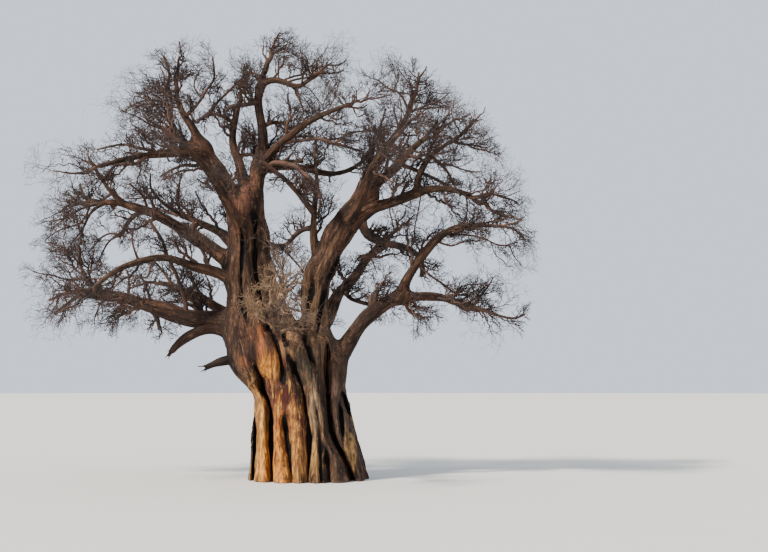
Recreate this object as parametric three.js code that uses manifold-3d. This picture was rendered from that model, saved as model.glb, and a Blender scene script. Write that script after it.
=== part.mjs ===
// A baobab in its leafless season: a fluted trunk, the boughs that fork from it, and a mass of bare
// twigs at each bough's end. Millimetres, +Z up. The origin is at ground level, under the middle of the
// trunk. A viewer who looks along +Y has +X to the right. Bearings are in degrees seen from above,
// anticlockwise from +X, so 90 is away from that viewer and 270 is towards them. A rise is in degrees
// above the horizontal.

import * as THREE from "three";
import { mergeVertices } from "three/addons/utils/BufferGeometryUtils.js";
import Module from "manifold-3d";

const wasm = await Module();
wasm.setup();

// Clearances.
const JOINT_GAP = 0.4; // between a limb and what carries it
const TWIG_CLEARANCE = 40; // between a twig and any limb
const SPACE_MARGIN = 25; // between a twig and the edge of its mass's own space

// The trunk, as the edges of its silhouette at a few heights. It shrinks from a broad foot, leans to the
// left as it rises, and spreads again into the shoulders that carry the boughs.
const TRUNK = [
  { height: 0, left: -2150, right: 2190, depth: 2080 },
  { height: 650, left: -2080, right: 2050, depth: 1930 },
  { height: 1400, left: -2070, right: 1840, depth: 1790 },
  { height: 2100, left: -2000, right: 1640, depth: 1660 },
  { height: 2800, left: -1960, right: 1450, depth: 1560 },
  { height: 3500, left: -2090, right: 1370, depth: 1530 },
  { height: 4100, left: -2340, right: 1300, depth: 1520 },
  { height: 4650, left: -2640, right: 1000, depth: 1440 },
  { height: 5150, left: -2700, right: 780, depth: 1270 },
  { height: 5550, left: -2350, right: 480, depth: 930 },
];
const FLUTES = 14; // deep folds that run up the trunk
const FLUTE_DEPTH_AT_FOOT = 0.16; // share of the radius
const FLUTE_DEPTH_AT_TOP = 0.05;
const FLUTE_SIDES = 3; // facets from one fold to the next
const FLUTE_WANDER = 0.25; // how far a fold strays from even spacing, as a share of the spacing
const FLUTE_SEED = 7;

// The boughs. A bough leaves a share of the way along the one that carries it, or at a place inside the
// trunk. Its bearing turns evenly from the first value to the second, its rise passes through three
// values, at the root, the middle and the tip, and its thickness shrinks from the first diameter to the
// second. Where a mass of twigs grows on its tip, reach is the radius of that mass's space, and lift is
// the rise from the tip to the middle of it.
const BOUGHS = {
  left_stem: {
    root: [-1570, 0, 4600], length: 5500, bearing: [0, 0], rise: [101, 98, 91], thick: [2300, 1150],
  },
  right_stem: {
    root: [170, 150, 4500], length: 6300, bearing: [0, 0], rise: [90, 75, 36], thick: [1300, 860],
  },
  right_low: {
    root: [760, -100, 3850], length: 5920, bearing: [5, 28], rise: [69, 32, -21], thick: [800, 270],
    reach: 2300, lift: -4,
  },
  great_low_left: {
    root: [-1950, -100, 5290], length: 6250, bearing: [178, 164], rise: [8, 16, 6], thick: [950, 300],
    reach: 2200, lift: -6,
  },
  hooked_stub: {
    root: [-2150, -150, 4400], length: 3200, bearing: [183, 185], rise: [62, 4, -54], thick: [540, 250],
  },
  short_stub: {
    root: [-1850, -300, 4420], length: 1750, bearing: [188, 182], rise: [0, -14, -26], thick: [380, 220],
  },
  front_low: {
    root: [-1100, -700, 5000], length: 4700, bearing: [272, 282], rise: [22, 14, 8], thick: [520, 190],
    reach: 2500, lift: 10,
  },
  back_centre: {
    root: [-1300, 600, 5000], length: 6000, bearing: [98, 112], rise: [48, 38, 20], thick: [680, 210],
    reach: 2600, lift: 25,
  },
  back_right: {
    root: [150, 400, 4900], length: 6000, bearing: [58, 48], rise: [42, 48, 30], thick: [640, 210],
    reach: 2600, lift: 25,
  },
  great_left: {
    from: "left_stem", at: 0.46, length: 7600, bearing: [168, 152], rise: [37, 28, 0], thick: [700, 220],
    reach: 2200, lift: 6,
  },
  great_left_low: {
    from: "left_stem", at: 0.35, length: 6150, bearing: [198, 216], rise: [30, 8, -44], thick: [460, 180],
    reach: 2200, lift: 0,
  },
  lower_left_inner: {
    from: "left_stem", at: 0.16, length: 5400, bearing: [155, 130], rise: [16, 23, 6], thick: [460, 200],
    reach: 2300, lift: 5,
  },
  low_left_riser: {
    from: "great_low_left", at: 0.92, length: 2000, bearing: [196, 204], rise: [20, 60, 92],
    thick: [220, 120], reach: 1900, lift: 20,
  },
  upper_left: {
    from: "left_stem", at: 0.74, length: 4050, bearing: [180, 176], rise: [72, 64, 42], thick: [860, 560],
  },
  top_left: {
    from: "upper_left", at: 1, length: 2200, bearing: [178, 165], rise: [88, 56, 96], thick: [360, 180],
    reach: 2000, lift: 108,
  },
  high_left: {
    from: "upper_left", at: 0.95, length: 2100, bearing: [165, 150], rise: [8, 46, 94], thick: [340, 160],
    reach: 2200, lift: 28,
  },
  far_left_high: {
    from: "upper_left", at: 0.92, length: 3650, bearing: [192, 212], rise: [-6, -12, -22],
    thick: [450, 160], reach: 2300, lift: 22,
  },
  middle_stem: {
    from: "left_stem", at: 0.97, length: 3600, bearing: [180, 150], rise: [80, 80, 104], thick: [500, 220],
    reach: 1900, lift: 95,
  },
  centre_stem: {
    from: "left_stem", at: 0.93, length: 5600, bearing: [0, 0], rise: [61, 91, 69], thick: [680, 190],
    reach: 1350, lift: 84,
  },
  centre_right_arm: {
    from: "centre_stem", at: 0.82, length: 2000, bearing: [345, 325], rise: [65, -25, 40],
    thick: [270, 160], reach: 2100, lift: 20,
  },
  crossing_high: {
    from: "centre_stem", at: 0.31, length: 4150, bearing: [342, 318], rise: [47, 25, 6], thick: [360, 150],
    reach: 2200, lift: 10,
  },
  crossing_low: {
    from: "centre_stem", at: 0.29, length: 4500, bearing: [15, 38], rise: [16, -2, 50], thick: [360, 150],
    reach: 2100, lift: 40,
  },
  centre_fork: {
    from: "right_stem", at: 0.5, length: 3400, bearing: [180, 150], rise: [64, 93, 80], thick: [360, 150],
    reach: 2000, lift: 110,
  },
  right_high: {
    from: "right_stem", at: 0.98, length: 3800, bearing: [0, 30], rise: [88, 55, 72], thick: [520, 190],
    reach: 2200, lift: 66,
  },
  right_diagonal: {
    from: "right_high", at: 0.12, length: 2750, bearing: [340, 330], rise: [7, 42, 28], thick: [470, 180],
    reach: 2300, lift: 25,
  },
  right_outer: {
    from: "right_stem", at: 0.7, length: 5550, bearing: [358, 338], rise: [32, 20, -36], thick: [600, 180],
    reach: 2300, lift: 0,
  },
  right_sweep: {
    from: "right_outer", at: 0.62, length: 3450, bearing: [20, 48], rise: [105, 36, 40], thick: [250, 130],
    reach: 2300, lift: 15,
  },
  right_low_riser: {
    from: "right_low", at: 0.65, length: 4400, bearing: [350, 322], rise: [78, 40, -8], thick: [460, 170],
    reach: 2200, lift: 4,
  },
  front_left: {
    from: "left_stem", at: 0.7, length: 4800, bearing: [248, 232], rise: [30, 44, 24], thick: [540, 190],
    reach: 2600, lift: 25,
  },
  front_right: {
    from: "right_stem", at: 0.74, length: 4500, bearing: [308, 298], rise: [30, 42, 20], thick: [460, 180],
    reach: 2600, lift: 25,
  },
  back_left: {
    from: "left_stem", at: 0.6, length: 5400, bearing: [122, 136], rise: [26, 24, 14], thick: [560, 190],
    reach: 2600, lift: 18,
  },
  back_high: {
    from: "left_stem", at: 0.98, length: 3900, bearing: [74, 62], rise: [58, 46, 32], thick: [460, 170],
    reach: 2500, lift: 40,
  },
};

// The crown's outline is a dome that no twig leaves.
const CROWN = { centre: [-1200, 200, 7500], radii: [9650, 8300, 8850], power: 2.2 };

const BOUGH_STEP = 900; // length of one straight piece of a bough
const FEWEST_STEPS = 4;
const THICK_BOUGH = 420; // a bough this thick has more sides than a thin one
const THICK_SIDES = 8;
const THIN_SIDES = 6;

// The twig rule. A stem goes on from the bough's tip, and each level grows from the one before it. A twig
// sets off at an angle from its carrier, is a span of the mass's reach long, and wanders at each step. It
// is tried at one place after another, from a first share of the carrier's length to its tip, until the
// carrier has its count.
const STEM = { tries: 12, span: 0.85, steps: 3, wander: 0.18, taper: 0.42, sides: 4 };
const TWIG_LEVELS = [
  { tries: 24, count: 6, first: 0.1, angle: 60, span: 0.85, steps: 2, wander: 0.3, thin: 0.62 },
  { tries: 8, count: 2, first: 0.35, angle: 48, span: 0.5, steps: 1, wander: 0.3, thin: 0.66 },
];
const TWIG_SIDES = 3;
const TWIG_TIP = 9; // radius where a twig ends
const GOLDEN_SHARE = 0.618; // step along the carrier from one try to the next
const GOLDEN_ANGLE = 137.5; // and the turn round it, in degrees
const ROLL_SPREAD = 60; // how far that turn may vary, in degrees
const ANGLE_SPREAD = [0.75, 1.25]; // a twig's angle varies between these shares of its level's
const LENGTH_SPREAD = [0.75, 1.15]; // and its length between these
const SHORTER_AT_TIP = 0.3; // how much shorter a twig is at its carrier's tip
const OUTWARD_PULL = 0.22; // how far a twig turns away from the middle of its mass at each step
const TESTED_SHARES = [0.35, 0.5, 0.65, 0.8, 0.9, 1]; // places on a twig that are tested against its space
const PLACES_PER_STEP = 6; // and places on each straight piece of a bough that they are tested against
const FIRST_MASS_SEED = 101;
const CENTRE_SHARE = 0.5; // how far a mass's centre lies past its bough's tip, as a share of its reach

const TRUNK_BARK = { color: 0x9a6e4a, roughness: 0.92, metalness: 0 };
const BOUGH_BARK = { color: 0x5d4a3f, roughness: 0.95, metalness: 0 };
const TWIG_BARK = { color: 0x463b36, roughness: 0.95, metalness: 0 };

const UP = new THREE.Vector3(0, 0, 1);
const EAST = new THREE.Vector3(1, 0, 0);
const NEARLY_ALONG = 0.9; // cosine past which two directions are too close for a cross product
const SAME_PLACE = 1e-3; // vertices this near are one
const radians = THREE.MathUtils.degToRad;
const { lerp } = THREE.MathUtils;

// Numbers from 0 to 1 that are the same at every run for the same seed.
function seeded(seed) {
  let state = seed >>> 0;
  return () => {
    state = (Math.imul(state, 1664525) + 1013904223) >>> 0;
    return state / 4294967296;
  };
}

// The seed of the twig with this number on the twig with that seed.
function childSeed(seed, number) {
  return (Math.imul(seed, 31) + Math.imul(number + 1, 7919)) >>> 0;
}

function heading(bearing, rise) {
  const b = radians(bearing);
  const r = radians(rise);
  return new THREE.Vector3(Math.cos(b) * Math.cos(r), Math.sin(b) * Math.cos(r), Math.sin(r));
}

// The value at share t of a quantity that passes through three values, at the root, the middle and the tip.
function through([root, middle, tip], t) {
  return root * (1 - t) * (1 - 2 * t) + 4 * middle * t * (1 - t) + tip * t * (2 * t - 1);
}

// A path is a list of places with a radius at each. This gives the place, direction and radius at share t
// of it.
function along(path, t) {
  const reach = Math.min(Math.max(t, 0), 1) * (path.length - 1);
  const k = Math.min(Math.floor(reach), path.length - 2);
  const [a, b] = [path[k], path[k + 1]];
  return {
    place: a.place.clone().lerp(b.place, reach - k),
    direction: b.place.clone().sub(a.place).normalize(),
    radius: lerp(a.radius, b.radius, reach - k),
  };
}

// Bends a closed upright shape of unit radius and unit height along a path, with some extra radius.
function bend(geometry, path, grown = 0) {
  const rings = path.length;
  const frames = [];
  let side = EAST;
  for (let k = 0; k < rings; k++) {
    const before = path[Math.max(k - 1, 0)].place;
    const after = path[Math.min(k + 1, rings - 1)].place;
    const forward = after.clone().sub(before).normalize();
    if (k === 0 && Math.abs(forward.dot(side)) > NEARLY_ALONG) side = UP;
    side = side.clone().addScaledVector(forward, -side.dot(forward)).normalize();
    frames.push({ ...path[k], side, across: forward.clone().cross(side) });
  }
  const position = geometry.getAttribute("position");
  for (let i = 0; i < position.count; i++) {
    const ring = frames[Math.round((position.getY(i) + 0.5) * (rings - 1))];
    const flat = new THREE.Vector2(position.getX(i), position.getZ(i)).setLength(ring.radius + grown);
    const p = ring.place.clone().addScaledVector(ring.side, flat.y).addScaledVector(ring.across, flat.x);
    position.setXYZ(i, p.x, p.y, p.z);
  }
  return geometry;
}

// A geometry as a solid that can be joined and cut.
function solid(geometry) {
  geometry.deleteAttribute("normal");
  geometry.deleteAttribute("uv");
  const merged = mergeVertices(geometry, SAME_PLACE);
  return new wasm.Manifold(
    new wasm.Mesh({
      numProp: 3,
      vertProperties: merged.getAttribute("position").array,
      triVerts: new Uint32Array(merged.index.array),
    }),
  );
}

function largestPiece(shape) {
  return shape.decompose().reduce((best, piece) => (piece.volume() > best.volume() ? piece : best));
}

function mesh(name, shape, finish) {
  const { numProp, numVert, vertProperties, triVerts } = shape.getMesh();
  const places = new Float32Array(numVert * 3);
  for (let i = 0; i < numVert; i++) {
    places.set(vertProperties.subarray(i * numProp, i * numProp + 3), i * 3);
  }
  const geometry = new THREE.BufferGeometry();
  geometry.setAttribute("position", new THREE.BufferAttribute(places, 3));
  geometry.setIndex(new THREE.BufferAttribute(triVerts, 1));
  const made = new THREE.Mesh(geometry, new THREE.MeshStandardMaterial({ flatShading: true, ...finish }));
  made.name = name;
  return made;
}

// The bearings round the trunk of every fold and of the facets between folds.
function fluteAngles() {
  const random = seeded(FLUTE_SEED);
  const gap = (2 * Math.PI) / FLUTES;
  const grooves = Array.from({ length: FLUTES }, (_, i) => (i + FLUTE_WANDER * (2 * random() - 1)) * gap);
  return grooves.flatMap((angle, i) => {
    const next = i + 1 < FLUTES ? grooves[i + 1] : grooves[0] + 2 * Math.PI;
    return Array.from({ length: FLUTE_SIDES }, (_, k) => angle + ((next - angle) * k) / FLUTE_SIDES);
  });
}

// The trunk, as oval rings of bark with a groove at each fold.
function trunkSolid(grown = 0) {
  const angles = fluteAngles();
  const top = TRUNK.length - 1;
  const geometry = new THREE.CylinderGeometry(1, 1, 1, angles.length, top);
  const position = geometry.getAttribute("position");
  for (let i = 0; i < position.count; i++) {
    const level = Math.round((position.getY(i) + 0.5) * top);
    const [x, z] = [position.getX(i), position.getZ(i)];
    const share = (Math.atan2(x, z) / (2 * Math.PI) + 1) % 1;
    const facet = Math.round(share * angles.length) % angles.length;
    const { height, left, right, depth } = TRUNK[level];
    const groove = lerp(FLUTE_DEPTH_AT_FOOT, FLUTE_DEPTH_AT_TOP, level / top);
    const round = Math.hypot(x, z) * (facet % FLUTE_SIDES ? 1 : 1 - groove);
    const angle = angles[facet];
    position.setXYZ(
      i,
      (left + right) / 2 + round * ((right - left) / 2 + grown) * Math.cos(angle),
      round * (depth + grown) * Math.sin(angle),
      height + (level === top ? grown : 0),
    );
  }
  return solid(geometry);
}

// A bough's path: it sets off from its root and turns a little at each step.
function boughPath(bough, carrier) {
  const start = bough.root ? new THREE.Vector3(...bough.root) : along(carrier, bough.at).place;
  const steps = Math.max(FEWEST_STEPS, Math.round(bough.length / BOUGH_STEP));
  const [thickRoot, thickTip] = bough.thick;
  const path = [{ place: start, radius: thickRoot / 2 }];
  for (let k = 1; k <= steps; k++) {
    const t = (k - 0.5) / steps;
    const direction = heading(lerp(...shortWay(bough.bearing), t), through(bough.rise, t));
    const place = path[k - 1].place.clone().addScaledVector(direction, bough.length / steps);
    path.push({ place, radius: lerp(thickRoot, thickTip, k / steps) / 2 });
  }
  return path;
}

// Two bearings, with the second moved by a full turn where that is the shorter way round.
function shortWay([first, second]) {
  const turn = Math.round((first - second) / 360) * 360;
  return [first, second + turn];
}

// A path with each end moved outwards.
function lengthened(path, extra) {
  const [first, last] = [along(path, 0), along(path, 1)];
  first.place.addScaledVector(first.direction, -extra);
  last.place.addScaledVector(last.direction, extra);
  return [first, ...path.slice(1, -1), last];
}

// A bough, or the larger shape that cuts what comes after it and leaves a gap all round.
function boughSolid(path, grown = 0) {
  const sides = path[0].radius * 2 > THICK_BOUGH ? THICK_SIDES : THIN_SIDES;
  const straight = new THREE.CylinderGeometry(1, 1, 1, sides, path.length - 1);
  return solid(bend(straight, lengthened(path, grown), grown));
}

// Where a mass of twigs may grow: a ball past its bough's tip, less what is nearer to another mass.
function massSpace(bough, path) {
  const aim = heading(bough.bearing[1], bough.lift);
  const centre = along(path, 1).place.addScaledVector(aim, bough.reach * CENTRE_SHARE);
  return { centre, reach: bough.reach };
}

function insideCrown(place, margin) {
  const { centre, radii, power } = CROWN;
  const share = (value, axis) => Math.abs(value - centre[axis]) / (radii[axis] - margin);
  return place.toArray().reduce((sum, value, axis) => sum + share(value, axis) ** power, 0) < 1;
}

function insideSpace(place, radius, own, spaces) {
  const depth = (space) => place.distanceTo(space.centre) - space.reach;
  const mine = depth(own);
  const margin = radius + SPACE_MARGIN;
  if (mine > -margin || !insideCrown(place, margin)) return false;
  return spaces.every((other) => other === own || depth(other) - mine > 2 * margin);
}

function clearOfLimbs(place, radius, limbs) {
  return limbs.every((limb) => place.distanceTo(limb.place) > radius + limb.radius + TWIG_CLEARANCE);
}

// A twig's path wanders as it goes, and is pulled a little one way.
function twigPath(start, direction, length, [rootRadius, tipRadius], level, pull, random) {
  const path = [{ place: start.clone(), radius: rootRadius }];
  const forward = direction.clone();
  for (let k = 1; k <= level.steps; k++) {
    if (k > 1) {
      const shake = new THREE.Vector3(random() - 0.5, random() - 0.5, random() - 0.5);
      forward.addScaledVector(shake, 2 * level.wander).addScaledVector(pull, OUTWARD_PULL).normalize();
    }
    const place = path[k - 1].place.clone().addScaledVector(forward, length / level.steps);
    path.push({ place, radius: lerp(rootRadius, tipRadius, k / level.steps) });
  }
  return path;
}

// The direction at an angle from a twig's own, turned by roll round it.
function aside(direction, angle, roll) {
  const reference = Math.abs(direction.z) > NEARLY_ALONG ? EAST : UP;
  const side = direction.clone().cross(reference).normalize().applyAxisAngle(direction, radians(roll));
  return direction.clone().applyAxisAngle(side, radians(angle));
}

// The stem of a mass goes on from its bough's tip and turns towards the middle of the mass. The first
// try that fits is the one that grows.
function growStem(bough, tip, own, fits, seed) {
  const start = tip.place.clone().addScaledVector(tip.direction, JOINT_GAP);
  const pull = own.centre.clone().sub(tip.place).normalize().sub(tip.direction);
  const radii = [tip.radius, tip.radius * STEM.taper];
  const length = bough.reach * STEM.span;
  let stem;
  for (let i = 0; i < STEM.tries; i++) {
    const draw = seeded(childSeed(seed, i));
    stem = twigPath(start, tip.direction, length, radii, STEM, pull, draw);
    if (fits(stem)) break;
  }
  return stem;
}

// All twigs of a mass, each grown on the one that carries it, and kept only where it stays in the mass's
// space.
function massTwigs(bough, path, spaces, own, limbs, seed) {
  const fits = (twig) =>
    TESTED_SHARES.every((t) => {
      const { place, radius } = along(twig, t);
      return insideSpace(place, radius, own, spaces) && clearOfLimbs(place, radius, limbs);
    });
  const stem = growStem(bough, along(path, 1), own, fits, seed);
  const twigs = [{ path: stem, sides: STEM.sides }];

  function branch(carrier, depth, carrierSeed) {
    const level = TWIG_LEVELS[depth];
    if (!level) return;
    let grown = 0;
    for (let i = 0; i < level.tries && grown < level.count; i++) {
      const twigSeed = childSeed(carrierSeed, i);
      const draw = seeded(twigSeed);
      const share = level.first + (1 - level.first) * ((i * GOLDEN_SHARE + draw() / level.count) % 1);
      const base = along(carrier, share);
      const roll = i * GOLDEN_ANGLE + ROLL_SPREAD * draw();
      const direction = aside(base.direction, level.angle * lerp(...ANGLE_SPREAD, draw()), roll);
      const shorter = 1 - SHORTER_AT_TIP * share;
      const length = bough.reach * level.span * lerp(...LENGTH_SPREAD, draw()) * shorter;
      const outwards = base.place.clone().sub(own.centre).normalize();
      const radii = [base.radius * level.thin, TWIG_TIP];
      const twig = twigPath(base.place, direction, length, radii, level, outwards, draw);
      if (!fits(twig)) continue;
      grown++;
      twigs.push({ path: twig, sides: TWIG_SIDES });
      branch(twig, depth + 1, twigSeed);
    }
  }
  branch(stem, 0, seed);
  return twigs;
}

// A twig ends in a point, and a mass's stem in a blunt end.
function twigSolid({ path, sides }) {
  const steps = path.length - 1;
  const tipRadius = sides === STEM.sides ? 1 : 0;
  return solid(bend(new THREE.CylinderGeometry(tipRadius, 1, 1, sides, steps), path));
}

// Places along every bough, close enough together to tell how near a twig passes.
function limbPlaces(paths) {
  return Object.values(paths).flatMap((path) => {
    const count = path.length * PLACES_PER_STEP;
    return Array.from({ length: count + 1 }, (_, k) => along(path, k / count));
  });
}

function buildTree() {
  const group = new THREE.Group();
  group.add(mesh("trunk", trunkSolid(), TRUNK_BARK));

  const paths = {};
  const grownBefore = [trunkSolid(JOINT_GAP)];
  for (const [name, bough] of Object.entries(BOUGHS)) {
    paths[name] = boughPath(bough, paths[bough.from]);
    const cut = wasm.Manifold.difference([boughSolid(paths[name]), ...grownBefore]);
    group.add(mesh(name, largestPiece(cut), BOUGH_BARK));
    grownBefore.push(boughSolid(paths[name], JOINT_GAP));
  }

  const limbs = limbPlaces(paths);
  const carriers = Object.entries(BOUGHS).filter(([, bough]) => bough.reach);
  const spaces = carriers.map(([name, bough]) => massSpace(bough, paths[name]));
  carriers.forEach(([name, bough], i) => {
    const twigs = massTwigs(bough, paths[name], spaces, spaces[i], limbs, FIRST_MASS_SEED + i);
    const joined = wasm.Manifold.union(twigs.map(twigSolid));
    group.add(mesh(`twigs_${name}`, largestPiece(joined), TWIG_BARK));
  });
  return group;
}

export default buildTree();
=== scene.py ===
# %% [markdown]
# # A baobab in its leafless season
# A baobab keeps water in a trunk several metres across, and for most of the year it stands bare. What
# the eye reads first is the bark, folded like heavy cloth, then a few thick boughs that fork low, and
# last a haze of fine twigs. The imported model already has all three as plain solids. This lesson dresses
# them: the bark gets its folds and colours, and each mass of twigs grows finer.
# The frame is loaded first, because every later step is built around it.

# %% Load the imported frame
import itertools
import math

import bpy
import numpy as np
import openvdb
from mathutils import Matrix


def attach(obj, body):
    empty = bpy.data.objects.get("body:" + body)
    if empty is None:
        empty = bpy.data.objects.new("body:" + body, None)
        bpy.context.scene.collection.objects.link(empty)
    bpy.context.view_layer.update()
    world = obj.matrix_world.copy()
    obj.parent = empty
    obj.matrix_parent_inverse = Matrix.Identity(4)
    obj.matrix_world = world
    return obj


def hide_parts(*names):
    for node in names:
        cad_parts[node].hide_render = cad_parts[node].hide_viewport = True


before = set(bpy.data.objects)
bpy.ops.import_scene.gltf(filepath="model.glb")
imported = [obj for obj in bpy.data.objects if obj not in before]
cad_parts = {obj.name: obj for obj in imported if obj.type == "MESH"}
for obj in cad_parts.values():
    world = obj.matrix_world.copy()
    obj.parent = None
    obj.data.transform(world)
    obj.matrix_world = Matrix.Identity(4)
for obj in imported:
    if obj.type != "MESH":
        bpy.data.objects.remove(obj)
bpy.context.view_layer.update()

# %% [markdown]
# ## The camera
# The tree is seen from 46 m off and 3.4 m above the ground, a little to the right of the trunk. The long
# way and a 60 mm lens keep the trunk and the crown in true proportion. The camera is tilted up, so the
# ground takes the lower part of the picture and the crown the upper part.

# %% Place the camera
CAMERA_PLACE = (2.7, -46.0, 3.42)
CAMERA_TILT = 4.78  # degrees above the horizontal
CAMERA_LENS = 60  # millimetres, on a 36 mm sensor

camera_data = bpy.data.cameras.new("camera")
camera_data.lens = CAMERA_LENS
camera = bpy.data.objects.new("camera", camera_data)
camera.location = CAMERA_PLACE
camera.rotation_euler = (math.radians(90 + CAMERA_TILT), 0, 0)
bpy.context.scene.collection.objects.link(camera)
bpy.context.scene.camera = camera
print("camera", CAMERA_PLACE, "tilt", CAMERA_TILT)

# %% [markdown]
# ## Ground and light
# Real baobabs stand in open country under a high sun. Here a plain pale floor stands for the ground, a
# broad soft sun from the left front models the folds, and a pale sky fills the shadows. A hard sun
# would give black shadows inside the crown, so its disc is made large.

# %% A pale floor and soft light
FLOOR_RADIUS = 400.0
FLOOR_SIDES = 64
FLOOR_COLOUR = (0.62, 0.6, 0.56, 1)
FLOOR_ROUGHNESS = 0.9
SKY_COLOUR = (0.8, 0.88, 1.0, 1)
SKY_STRENGTH = 1.2
SUN_STRENGTH = 7.0
SUN_COLOUR = (1.0, 0.93, 0.82)
SUN_DISC = 6  # degrees
SUN_HEIGHT = 42  # degrees above the horizontal
SUN_BEARING = 222  # degrees anticlockwise from +X, so from the left and the front

floor_mesh = bpy.data.meshes.new("floor")
rim = [2 * math.pi * k / FLOOR_SIDES for k in range(FLOOR_SIDES)]
floor_mesh.from_pydata(
    [(FLOOR_RADIUS * math.cos(a), FLOOR_RADIUS * math.sin(a), 0) for a in rim], [], [range(FLOOR_SIDES)]
)
floor = bpy.data.objects.new("floor", floor_mesh)
bpy.context.scene.collection.objects.link(floor)
floor_paint = bpy.data.materials.new("plain floor")
floor_paint.use_nodes = True
floor_shader = floor_paint.node_tree.nodes["Principled BSDF"]
floor_shader.inputs["Base Color"].default_value = FLOOR_COLOUR
floor_shader.inputs["Roughness"].default_value = FLOOR_ROUGHNESS
floor_mesh.materials.append(floor_paint)

world = bpy.data.worlds.new("pale sky")
world.use_nodes = True
world.node_tree.nodes["Background"].inputs["Color"].default_value = SKY_COLOUR
world.node_tree.nodes["Background"].inputs["Strength"].default_value = SKY_STRENGTH
bpy.context.scene.world = world

sun_data = bpy.data.lights.new("sun", "SUN")
sun_data.energy = SUN_STRENGTH
sun_data.angle = math.radians(SUN_DISC)
sun_data.color = SUN_COLOUR
sun = bpy.data.objects.new("sun", sun_data)
sun.rotation_euler = (math.radians(90 - SUN_HEIGHT), 0, math.radians(SUN_BEARING + 90))
bpy.context.scene.collection.objects.link(sun)
print("floor", 2 * FLOOR_RADIUS, "m across, sun", SUN_HEIGHT, "degrees up")

# %% [markdown]
# ## The boughs
# Each bough is one tapering limb that leaves the trunk or another bough and bends as it goes. The table
# gives what a forester would note for each: where it leaves, how long it is, which way it points, how
# steeply it rises at its root, middle and tip, and how thick it is at both ends. These are the sizes of
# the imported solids, in millimetres, so the dressed limbs lie where the solids do.

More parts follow.
